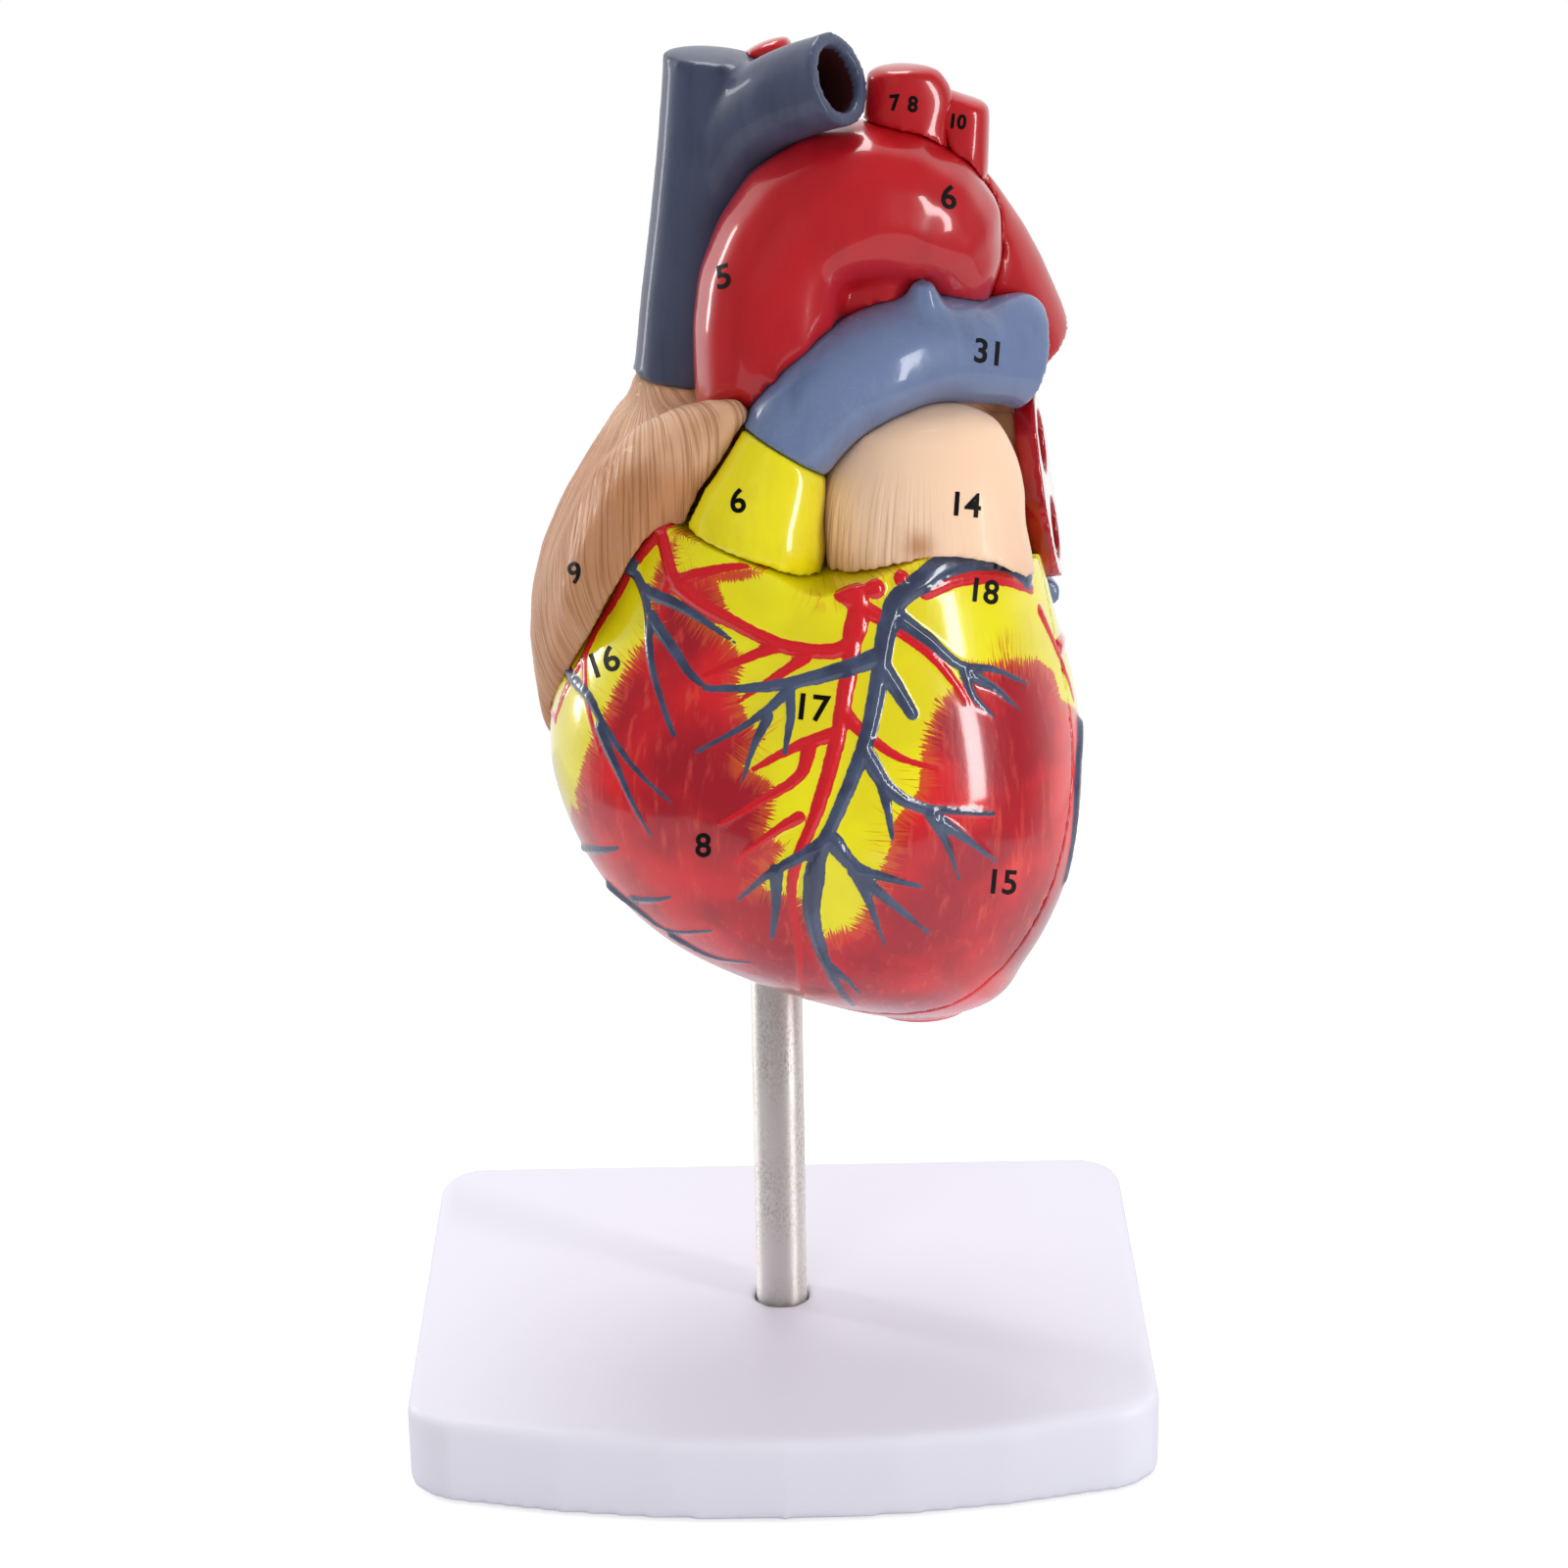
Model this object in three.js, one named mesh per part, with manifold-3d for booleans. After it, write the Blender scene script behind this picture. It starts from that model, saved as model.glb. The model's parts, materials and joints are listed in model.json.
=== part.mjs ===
// A life-size teaching model of the human heart on a stand. The heart is cast in two halves. The
// front wall pulls off forwards, held by magnets, and shows the two ventricles inside the back half,
// which also carries the atria and the great vessels. The back half turns on a steel rod and lifts
// off it, and the rod is screwed into a white base.
// Millimetres, +Z up, front towards -Y. The origin is under the base, on the rod's axis.
import * as THREE from "three";
import { mergeVertices } from "three/addons/utils/BufferGeometryUtils.js";
import Module from "manifold-3d";

const wasm = await Module();
wasm.setup();

// Clearances: between pieces glued or seated together, and round the lift-off front wall
const FIT = 0.3;
const LID_GAP = 0.5;

// Base shell: straight back and sides, a bowed front, hollow underneath
const BASE_WIDTH = 143;
const BASE_BACK = 56;
const BASE_FRONT = 43;
const BASE_BOW = 13;
const BOW_AT_CORNER = 0.34;
const BOW_BESIDE_CORNER = 0.12;
const BASE_CORNER = 9;
const BASE_HEIGHT = 18;
const BASE_LIFT = 0.8;
const BASE_WALL = 2.6;
const BASE_EDGE = 2;
const FOOT_RADIUS = 6;
const FOOT_HEIGHT = 2.2;
const FOOT_INSET = 14;
const POST_RADIUS = 5;

// Rod, its boss in the base, and the screw that holds it from below
const ROD_RADIUS = 5;
const ROD_WALL = 1;
const ROD_TOP = 126;
const ROD_HOLE_CLEARANCE = 0.45;
const BOSS_WALL = 3.6;
const BOSS_FLOOR = 2.7;
const SCREW_RADIUS = 2;
const SCREW_HEAD_RADIUS = 3.8;
const SCREW_HEAD_HEIGHT = 1.6;
const SCREW_HEAD_LIFT = 0.4;
const SCREW_GRIP = 11;
const WASHER_RADIUS = 5.5;
const WASHER_THICKNESS = 0.9;
const INSERT_LENGTH = 14;

// Sleeve inside the heart that drops over the rod and turns on it
const SLEEVE_WALL = 1.2;
const SLEEVE_CEILING = 2;
const SLEEVE_BOTTOM = 94;
const SOCKET_WALL = 3.2;

// Plane where the halves part: its depth on the rod's axis at a given height, and how far it runs
// back per millimetre to the right and per millimetre up
const PARTING_DEPTH = -13.8;
const PARTING_HEIGHT = 130;
const PARTING_TURN = -0.133;
const PARTING_LEAN = 0.26;
const MAGNET_RADIUS = 2.5;
const MAGNET_THICKNESS = 2;
const MAGNETS = [
  [49.6, 138],
  [11.5, 99],
  [7.5, 150],
];
const PIN_RADIUS = 1.6;
const PIN_LENGTH = 9;
const PIN_SEAT = 4.5;
const PINS = [
  [44.5, 164],
  [-35, 128],
];

// Sloping floor of the atria: its height above the parting line's depth, and its fall to the back
const FLOOR_DEPTH = -12;
const FLOOR_HEIGHT = 176;
const FLOOR_FALL = 0.38;
const CEILING = 3.5;

// Organ forms. A station is [x, y, z, half width, half depth] of one section.
const VENTRICLES = [
  [27.2, -8.4, 85, 9.5, 8.2],
  [25.2, -8.5, 89.5, 18.6, 15.8],
  [19.8, -9, 96, 27.6, 23.4],
  [14.8, -8.7, 104, 37, 29.9],
  [11.7, -7.8, 114, 43.8, 35.4],
  [9.5, -7, 126, 47.8, 39.2],
  [8.2, -6.3, 138, 49.2, 40.3],
  [8, -5.3, 150, 47.7, 39.3],
  [8.5, -4.5, 160, 44.5, 37.5],
  [9.5, -4, 170, 41, 35.5],
  [9, -4, 178, 39, 34],
  [8, -4, 186, 36, 32],
];
const APEX_DOME = 1.7;
const CROWN_DOME = 5;
const LEFT_CHAMBER = [
  [27.5, -10, 99, 6, 9],
  [29.5, -9, 110, 12, 18],
  [30.5, -7, 125, 15.5, 25],
  [30.5, -5, 142, 16, 26.5],
  [28.5, -4, 156, 15, 24],
  [26, -3, 170, 13, 20],
];
const RIGHT_CHAMBER = [
  [-2, -15, 103, 8, 11],
  [-8, -11, 112, 13, 20],
  [-13, -9, 124, 17, 27],
  [-15, -8, 140, 18, 30],
  [-14, -8, 155, 16, 27],
  [-11, -9, 168, 13, 22],
  [-6, -16, 178, 11, 14],
];
const CHAMBER_DOME = 4;
const RIGHT_ATRIUM = [
  [-33, 5, 140.5, 10, 15],
  [-29, 5, 152, 15.5, 22],
  [-26, 4, 164, 18, 27],
  [-22, 3, 176, 19, 28],
  [-17, 2, 188, 18, 25],
  [-14.5, 2, 197, 14.5, 20],
];
const RIGHT_ATRIUM_DOME = 6;
const RIGHT_AURICLE = [
  [-27, -8, 168, 14, 16],
  [-21, -14, 184, 14, 14],
  [-15, -18, 196, 10.5, 10],
  [-9, -21, 203, 5.5, 6],
  [-5, -23, 206.5, 2.5, 3],
];
const RIGHT_AURICLE_DOMES = { startDome: 4, endDome: 2 };
const CAVAL_NECK = [
  [-17, 5, 192, 12, 12],
  [-15, 6, 200, 10.2, 10.2],
  [-14.6, 6, 205, 9.2, 9.2],
];
const VENA_CAVA = [
  [-14.6, 6, 205.4, 9.2, 9.2],
  [-12.8, 6, 222, 8.9, 8.9],
  [-10.6, 5.5, 240, 8.5, 8.5],
  [-8.9, 5, 253, 8.8, 8.4],
  [-7.9, 5, 262.8, 8.9, 8.4],
];
const VENA_CAVA_DOME = 1.2;
const CROSSING_VEIN = [
  [-9.4, 4.5, 239, 7.2, 7.2],
  [-3.5, 1, 251, 8, 8],
  [4.3, -6, 258.4, 7.9, 7.9],
  [13.6, -12, 262.4, 8, 8],
];
const AORTA_ROOT = [
  [11, 8, 158, 12, 12],
  [9, 5, 170, 12.5, 12.5],
  [4, 0, 184, 14, 14],
  [1.8, -5, 198, 15, 14],
  [1.5, -8, 211, 15.1, 14.3],
];
const ARCH_X = 17;
const ARCH_Z = 223;
const ARCH_RADIUS = 15.8;
const ARCH = [
  { degrees: 180, y: -9, halfDepth: 15.2, halfHeight: 13.5 },
  { degrees: 150, y: -8, halfDepth: 15.6, halfHeight: 12.7 },
  { degrees: 120, y: -6, halfDepth: 16, halfHeight: 14.2 },
  { degrees: 90, y: -4, halfDepth: 16, halfHeight: 14.8 },
  { degrees: 60, y: -2, halfDepth: 15, halfHeight: 14.4 },
  { degrees: 30, y: 0, halfDepth: 13, halfHeight: 13.2 },
  { degrees: 0, y: 1, halfDepth: 9, halfHeight: 9.2 },
];
const ARCH_TAIL = [32.5, 1, 213, 6, 5];
const ARCH_WEB = [
  [13, -6, 206, 10, 9],
  [18, -5, 217, 10.5, 10],
  [24, -3, 228, 8, 8],
];
const DESCENDING_AORTA = [
  [31, 5, 236, 11, 11],
  [38.5, 13, 222, 11.8, 11.8],
  [45.6, 21, 206, 11.5, 11.5],
];
const BRACHIOCEPHALIC_ARTERY = [
  [8, 4, 242, 6.2, 6.2],
  [4, 7, 254, 6, 6],
  [0, 9, 263.5, 5.8, 5.8],
];
const CAROTID_ARTERY = [
  [25, -2, 246, 9, 5.6],
  [24.6, -2, 254, 6.6, 5],
  [24.2, -2, 261.5, 5.6, 5],
];
const SUBCLAVIAN_ARTERY = [
  [32, 1, 240, 8, 6.5],
  [34.6, 1.5, 249, 5.8, 5.4],
  [35.4, 1.5, 255, 5, 5],
];
const BRANCH_DOME = 1;
const PULMONARY_TRUNK = [
  [-4, -20, 168, 13.8, 13.8],
  [-3.5, -21, 177, 13.8, 13.8],
  [-2.2, -22, 186, 12.8, 12.8],
  [0.3, -22.3, 192.5, 10.6, 10.6],
  [3, -22, 199, 8.9, 8.9],
  [9.5, -19.8, 207, 9.2, 9.2],
  [18.5, -15.8, 212, 9.8, 9.8],
  [28, -9, 213.5, 9.8, 9.8],
  [38, -2, 210.6, 9.2, 9.2],
  [46.4, 3.5, 207.4, 8, 8],
];
const TRUNK_COLOUR_CHANGE = 4 / 9;
const RIGHT_PULMONARY_ARTERY = [
  [14, 3, 207, 8, 8],
  [6, 13, 207, 7.8, 7.8],
  [-4, 20, 206, 7.6, 7.6],
  [-13, 23, 205, 7.4, 7.4],
];
const LIGAMENT = { start: [28, -11, 217], end: [28, -13, 226.5], foot: 6.4, tip: 1.8 };
const LEFT_AURICLE = [
  [28.8, -21.4, 175, 18.9, 14],
  [28.3, -21, 180, 18.5, 14.6],
  [27.7, -19.5, 185, 18, 15],
  [27.7, -18, 193, 17.8, 14.4],
  [27.6, -16, 199.5, 15, 12],
];
const LEFT_AURICLE_DOME = 5.5;
const LEFT_ATRIUM = [
  [18, 20, 160, 22, 15],
  [20, 20, 172, 27, 18],
  [21, 20, 184, 28, 19],
  [21, 18, 194, 24, 16],
  [21, 16, 201, 15, 11],
];
const LEFT_ATRIUM_DOME = 4;
const LEFT_VEIN_NECK = [
  [26, 14, 176.5, 14, 11],
  [38, 11.3, 178.7, 14, 10.5],
  [48.6, 9, 180.4, 16, 9.5],
];
const LEFT_VEIN_ENDS = [
  [49.1, 8.9, 180.5, 16.4, 9.8],
  [53.2, 8, 181.2, 16.8, 10],
];
const RIGHT_VEIN_RADIUS = 5;
const RIGHT_VEIN_REACH = [-20, 12, 1];
const RIGHT_VEINS = {
  right_upper_pulmonary_vein: [4, 27, 193],
  right_lower_pulmonary_vein: [4, 29, 179],
};
const LOWER_VENA_CAVA = [
  [-26, 25, 160, 9.5, 9.5],
  [-25, 29, 147, 9, 9],
  [-24, 31, 133, 8.8, 8.8],
];
const CORONARY_SINUS = [
  [52, 6.5, 161.5, 2.7, 2.7],
  [47.5, 20, 161, 3.6, 3.6],
  [34, 31, 160, 4.4, 4.4],
  [14, 36, 158.5, 4.8, 4.8],
  [-4, 34, 158, 5, 5],
  [-18, 29, 158, 5, 5],
];

// Bores at the cut ends of the vessels
const VEIN_BORE = 6.2;
const VEIN_BORE_DEPTH = 14;
const PULMONARY_VEIN_BORE = 5.4;
const PULMONARY_VEIN_BORE_DEPTH = 6;
const PULMONARY_VEIN_SPREAD = 7.9;
const VESSEL_WALL = 2.4;
const VESSEL_BORE_DEPTH = 8;

// Top edge of the front wall, seen from the front as [x, z]
const LID_EDGE = [
  [-48, 124],
  [-43.5, 137],
  [-37.8, 152.6],
  [-32.8, 163.5],
  [-25, 179],
  [-19, 186.5],
  [-13, 185.5],
  [0, 181],
  [9, 177],
  [20.5, 180.5],
  [30, 182.5],
  [40, 180],
  [48, 174],
  [60, 170],
];

// Coronary vessels cast on the front wall, each a route seen from the front as [x, z] with its half
// width and how far it stands out
const CORONARIES = [
  {
    halfWidth: 2.1,
    stand: 1.4,
    route: [[43, 176], [34, 179], [27, 177], [23, 175], [20, 170], [20, 162]],
  },
  {
    halfWidth: 1.8,
    stand: 1.3,
    route: [[20, 162], [17, 154], [15, 148], [10, 138], [8, 131], [6, 122], [8, 111]],
  },
  {
    halfWidth: 1.7,
    stand: 1.3,
    route: [[14, 172], [14, 166], [13, 161], [12, 155], [10, 148], [7, 140], [3, 127]],
  },
  {
    halfWidth: 1.5,
    stand: 1.2,
    route: [[18, 166], [12, 164], [4, 163], [-4, 161], [-12, 160]],
  },
  {
    halfWidth: 1.5,
    stand: 1.2,
    route: [[22, 172], [28, 168], [33, 163], [40, 161], [45, 157]],
  },
  {
    halfWidth: 1.7,
    stand: 1.3,
    route: [[-19, 182], [-17, 177], [-13, 174], [-6, 172], [0, 169], [12, 168]],
  },
];

// Heart valves and the muscles that hold their leaflets. A valve hangs from its ring down to its tip.
const LEAFLET = 1.2;
const NOTCH_SIZE = 0.6;
const NOTCH_STRETCH = 1.4;
const VALVE_TOP = FLOOR_HEIGHT - 8;
const VALVE_TIP = VALVE_TOP - 17;
const MITRAL = { ring: [27, 14, VALVE_TOP], tip: [29, 10, VALVE_TIP], top: 9.5, bottom: 6.5, leaflets: 2 };
const TRICUSPID = {
  ring: [-16, 10.5, VALVE_TOP],
  tip: [-14, 7, VALVE_TIP],
  top: 9.5,
  bottom: 6.5,
  leaflets: 3,
};
const SEMILUNAR_RADIUS = 7.5;
const SEMILUNAR_HEIGHT = 5;
const POCKET_SIZE = 0.42;
const SLIT_LENGTH = 0.8;
const SLIT_WIDTH = 0.6;
const AORTIC_VALVE = [8.5, 9, VALVE_TOP - 8.5];
const PULMONARY_VALVE = [-3.6, -21, 185.4];
const OUTFLOW_DEPTHS = { aortic: 8, pulmonary: 34 };
const OUTFLOW_RISES = { aortic: 12, pulmonary: 6.5 };
const CHORD_RADIUS = 0.6;
const CHORD_SPREAD = [0.2, 0.5, 0.8];
const MUSCLE_DOME = 1.5;
const MUSCLE_ROOT = { back: 0.5, lean: 0.25, swell: 1.2, tip: 0.4 };
const MUSCLE_FOOT = 115;
const MUSCLE_REACH = 0.57;
const MUSCLE_TIP = MUSCLE_FOOT + MUSCLE_REACH * (VALVE_TIP - MUSCLE_FOOT);
const PAPILLARIES = {
  left_front: { valve: MITRAL, foot: [39, 4, MUSCLE_FOOT], tip: [33, 7, MUSCLE_TIP], radius: 5, reach: 1 },
  left_back: { valve: MITRAL, foot: [22, 9, MUSCLE_FOOT], tip: [24.5, 9, MUSCLE_TIP], radius: 4.5, reach: -1 },
  right: { valve: TRICUSPID, foot: [-16, 12, MUSCLE_FOOT], tip: [-16, 6, MUSCLE_TIP], radius: 5, reach: -1 },
};

const X_AXIS = new THREE.Vector3(1, 0, 0);
const Y_AXIS = new THREE.Vector3(0, 1, 0);
const Z_AXIS = new THREE.Vector3(0, 0, 1);
const FAR = 200;
const SAME_POINT = 1e-3;
const DOME_TURNS = [Math.PI / 3.3, Math.PI / 7];

// A smooth value through a list of numbers, with t from 0 at the first to 1 at the last
function through(values, t) {
  const last = values.length - 1;
  const at = Math.min(t * last, last - 1e-6);
  const i = Math.floor(at);
  const u = at - i;
  const [a, b, c, d] = [i - 1, i, i + 1, i + 2].map((k) => values[Math.min(Math.max(k, 0), last)]);
  return b + 0.5 * u * (c - a + u * (2 * a - 5 * b + 4 * c - d + u * (3 * (b - c) + d - a)));
}

// A closed surface over a row of rings, with a point at each end
function skin(rings, startPoint, endPoint) {
  const sides = rings[0].length;
  const points = [startPoint, ...rings.flat(), endPoint];
  const last = points.length - 1;
  const vertex = (ring, side) => 1 + ring * sides + (side % sides);
  const faces = [];
  for (let s = 0; s < sides; s++) {
    faces.push(0, vertex(0, s + 1), vertex(0, s));
    faces.push(last, vertex(rings.length - 1, s), vertex(rings.length - 1, s + 1));
    for (let r = 0; r < rings.length - 1; r++) {
      faces.push(vertex(r, s), vertex(r, s + 1), vertex(r + 1, s + 1));
      faces.push(vertex(r, s), vertex(r + 1, s + 1), vertex(r + 1, s));
    }
  }
  const geometry = new THREE.BufferGeometry().setFromPoints(points);
  geometry.setIndex(faces);
  return geometry;
}

// A closed three.js geometry as a solid to cut and join, turned right way out
function solid(geometry) {
  const bare = new THREE.BufferGeometry().setAttribute("position", geometry.getAttribute("position"));
  if (geometry.index) bare.setIndex(geometry.index);
  const merged = mergeVertices(bare, SAME_POINT);
  const vertProperties = merged.attributes.position.array;
  const triVerts = new Uint32Array(merged.index.array);
  const made = new wasm.Manifold(new wasm.Mesh({ numProp: 3, vertProperties, triVerts }));
  if (made.volume() > 0) return made;
  for (let i = 0; i < triVerts.length; i += 3) {
    [triVerts[i + 1], triVerts[i + 2]] = [triVerts[i + 2], triVerts[i + 1]];
  }
  return new wasm.Manifold(new wasm.Mesh({ numProp: 3, vertProperties, triVerts }));
}

// A solid grown along a smooth spine through its stations, with flat ends or domes of a given height.
// Level sections stay horizontal, and others stand square to the spine.
function grown(stations, options = {}) {
  const { side = X_AXIS, sides = 16, steps = 3 * (stations.length - 1), grow = 0, level = false } = options;
  const { startDome = 0, endDome = 0, from = 0, to = 1 } = options;
  const points = stations.map(([x, y, z]) => new THREE.Vector3(x, y, z));
  const spine = new THREE.CatmullRomCurve3(points, false, "catmullrom");
  const widths = stations.map((s) => s[3]);
  const depths = stations.map((s) => s[4]);
  const along = (t) => (level ? Z_AXIS : spine.getTangent(t));
  const ring = (t, slip, share) => {
    const tangent = along(t);
    const centre = spine.getPoint(t).addScaledVector(tangent, slip);
    const across = side.clone().addScaledVector(tangent, -side.dot(tangent)).normalize();
    const deep = new THREE.Vector3().crossVectors(tangent, across);
    const width = (through(widths, t) + grow) * share;
    const depth = (through(depths, t) + grow) * share;
    return Array.from({ length: sides }, (_, k) => {
      const turn = (2 * Math.PI * k) / sides;
      const point = centre.clone().addScaledVector(across, width * Math.cos(turn));
      return point.addScaledVector(deep, depth * Math.sin(turn));
    });
  };
  const startHeight = startDome + grow;
  const endHeight = endDome + grow;
  const rings = [];
  const dome = (t, height) => DOME_TURNS.map((turn) => ring(t, height * Math.sin(turn), Math.cos(turn)));
  if (startDome) rings.push(...dome(from, -startHeight));
  for (let k = 0; k <= steps; k++) {
    const flatStart = k === 0 && !startDome ? -startHeight : 0;
    const flatEnd = k === steps && !endDome ? endHeight : 0;
    rings.push(ring(from + ((to - from) * k) / steps, flatStart + flatEnd, 1));
  }
  if (endDome) rings.push(...dome(to, endHeight).toReversed());
  const startPoint = spine.getPoint(from).addScaledVector(along(from), -startHeight);
  const endPoint = spine.getPoint(to).addScaledVector(along(to), endHeight);
  return solid(skin(rings, startPoint, endPoint));
}

// A straight round bar between two points, tapered where the radii differ
function bar(start, end, startRadius, endRadius = startRadius, sides = 16) {
  const from = new THREE.Vector3(...start);
  const to = new THREE.Vector3(...end);
  const geometry = new THREE.CylinderGeometry(endRadius, startRadius, from.distanceTo(to), sides);
  const turn = new THREE.Quaternion().setFromUnitVectors(Y_AXIS, to.clone().sub(from).normalize());
  geometry.applyQuaternion(turn);
  geometry.translate(...from.add(to).multiplyScalar(0.5).toArray());
  return solid(geometry);
}
function upright(radius, bottom, top, x = 0, y = 0, sides = 24) {
  return bar([x, y, bottom], [x, y, top], radius, radius, sides);
}
function box(width, depth, height, x, y, z) {
  const geometry = new THREE.BoxGeometry(width, depth, height);
  geometry.translate(x, y, z);
  return solid(geometry);
}
const cut = (shape, ...cutters) => cutters.reduce((rest, cutter) => rest.subtract(cutter), shape);

// A point moved from another by a share of the way to a third
function between(start, end, share) {
  return start.map((v, i) => v + (end[i] - v) * share);
}

// A bore down into the last end of a station list, open outwards
function endBore(stations, radius = stations.at(-1)[3] - VESSEL_WALL, depth = VESSEL_BORE_DEPTH) {
  const [before, tip] = stations.slice(-2).map((s) => s.slice(0, 3));
  const length = Math.hypot(...tip.map((v, i) => v - before[i]));
  return bar(between(tip, before, depth / length), between(tip, before, -1), radius, radius);
}

// The half space in front of the parting plane, with its face moved back by a gap, as a big block
const partingY = (x, z) => PARTING_DEPTH + PARTING_TURN * x + PARTING_LEAN * (z - PARTING_HEIGHT);
const partingNormal = new THREE.Vector3(-PARTING_TURN, 1, -PARTING_LEAN).normalize();
function inFront(gap = 0) {
  const geometry = new THREE.BoxGeometry(2 * FAR, FAR, 2 * FAR);
  geometry.translate(0, gap - FAR / 2, 0);
  geometry.applyQuaternion(new THREE.Quaternion().setFromUnitVectors(Y_AXIS, partingNormal));
  geometry.translate(0, PARTING_DEPTH, PARTING_HEIGHT);
  return solid(geometry);
}

// The half space above the floor of the atria, raised by a gap, as a big block
function aboveFloor(gap = 0) {
  const up = new THREE.Vector3(0, FLOOR_FALL, 1).normalize();
  const geometry = new THREE.BoxGeometry(2 * FAR, 2 * FAR, FAR);
  geometry.translate(0, 0, gap + FAR / 2);
  geometry.applyQuaternion(new THREE.Quaternion().setFromUnitVectors(Z_AXIS, up));
  geometry.translate(0, FLOOR_DEPTH, FLOOR_HEIGHT);
  return solid(geometry);
}

// All that lies below the front wall's top edge and in front of the parting plane, widened by a gap
function lidSpace(gap = 0) {
  const curve = new THREE.SplineCurve(LID_EDGE.map(([x, z]) => new THREE.Vector2(x, z + gap)));
  const shape = new THREE.Shape(curve.getPoints(2 * (LID_EDGE.length - 1)));
  shape.lineTo(FAR, LID_EDGE.at(-1)[1] + gap);
  shape.lineTo(FAR, 0);
  shape.lineTo(LID_EDGE[0][0] - gap, 0);
  const geometry = new THREE.ExtrudeGeometry(shape, { depth: 2 * FAR, bevelEnabled: false });
  geometry.rotateX(Math.PI / 2);
  geometry.translate(0, FAR, 0);
  return solid(geometry).intersect(inFront(gap));
}

// Whole forms, which the pieces and their cuts are made from
function ventricles(grow = 0) {
  const domes = { startDome: APEX_DOME, endDome: CROWN_DOME };
  return grown(VENTRICLES, { level: true, sides: 28, steps: 13, grow, ...domes });
}
function backHalf(grow = 0) {
  return cut(ventricles(grow), inFront(LID_GAP - grow), aboveFloor(grow));
}
function leftChamber(grow = 0) {
  const shape = grown(LEFT_CHAMBER, { level: true, sides: 14, steps: 7, startDome: CHAMBER_DOME, grow });
  return shape.subtract(aboveFloor(grow - CEILING));
}
function rightCavity(grow = 0) {
  return grown(RIGHT_CHAMBER, { level: true, sides: 14, steps: 8, startDome: CHAMBER_DOME, grow });
}
function rightChamber(grow = 0) {
  const wall = SOCKET_WALL - grow;
  return rightCavity(grow).subtract(upright(sleeveRadius + FIT + wall, 0, sleeveTop + FIT + wall));
}
function trunk(grow = 0, range = {}) {
  return grown(PULMONARY_TRUNK, { sides: 16, steps: 18, grow, ...range });
}
function ligament(grow = 0) {
  return bar(LIGAMENT.start, LIGAMENT.end, LIGAMENT.foot + grow, LIGAMENT.tip + grow, 12);
}
function aorta(grow = 0) {
  const arch = ARCH.map(({ degrees, y, halfDepth, halfHeight }) => {
    const turn = THREE.MathUtils.degToRad(degrees);
    const [x, z] = [ARCH_X + ARCH_RADIUS * Math.cos(turn), ARCH_Z + ARCH_RADIUS * Math.sin(turn)];
    return [x, y, z, halfDepth, halfHeight];
  });
  const tube = grown([...AORTA_ROOT, ...arch, ARCH_TAIL], { side: Y_AXIS, sides: 14, steps: 18, grow });
  return tube.add(grown(ARCH_WEB, { side: Y_AXIS, sides: 10, steps: 3, grow }));
}
function rightAtrium(grow = 0) {
  const domes = { startDome: RIGHT_ATRIUM_DOME, endDome: RIGHT_ATRIUM_DOME };
  const body = grown(RIGHT_ATRIUM, { level: true, sides: 16, steps: 7, ...domes, grow });
  const auricle = grown(RIGHT_AURICLE, { sides: 10, steps: 6, ...RIGHT_AURICLE_DOMES, grow });
  const whole = body.add(auricle).add(grown(CAVAL_NECK, { sides: 12, steps: 2, grow }));
  return whole.subtract(rightChamber(CEILING - grow));
}
function leftAuricle(grow = 0) {
  return grown(LEFT_AURICLE, { level: true, sides: 18, steps: 6, endDome: LEFT_AURICLE_DOME, grow });
}
function leftAtrium(grow = 0) {
  const domes = { startDome: LEFT_ATRIUM_DOME, endDome: LEFT_ATRIUM_DOME };
  const body = grown(LEFT_ATRIUM, { level: true, sides: 16, steps: 5, ...domes, grow });
  return body.add(grown(LEFT_VEIN_NECK, { side: Z_AXIS, sides: 16, steps: 3, grow }));
}
function leftVeinPlate(grow = 0) {
  return grown(LEFT_VEIN_ENDS, { side: Z_AXIS, sides: 16, steps: 1, grow });
}
function venaCava(grow = 0) {
  return grown(VENA_CAVA, { sides: 16, steps: 5, endDome: VENA_CAVA_DOME, grow });
}
function crossingVein(grow = 0) {
  return grown(CROSSING_VEIN, { side: Y_AXIS, sides: 16, steps: 6, grow });
}
function lowerCava(grow = 0) {
  return grown(LOWER_VENA_CAVA, { sides: 14, steps: 4, grow });
}
function descendingAorta(grow = 0) {
  return grown(DESCENDING_AORTA, { side: Y_AXIS, sides: 16, steps: 5, grow });
}
function sinus(grow = 0) {
  return grown(CORONARY_SINUS, { side: Z_AXIS, sides: 8, steps: 8, grow });
}

// Heights of the stack under the rod, from the table up, and the sleeve on the rod's top
const screwHeadTop = SCREW_HEAD_LIFT + SCREW_HEAD_HEIGHT;
const washerBottom = screwHeadTop + FIT;
const bossBottom = washerBottom + WASHER_THICKNESS + FIT;
const bossFloorTop = bossBottom + BOSS_FLOOR;
const rodBottom = bossFloorTop + FIT;
const rodBore = ROD_RADIUS - ROD_WALL;
const sleeveBore = ROD_RADIUS + FIT;
const sleeveRadius = sleeveBore + SLEEVE_WALL;
const sleeveTop = ROD_TOP + FIT + SLEEVE_CEILING;

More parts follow.
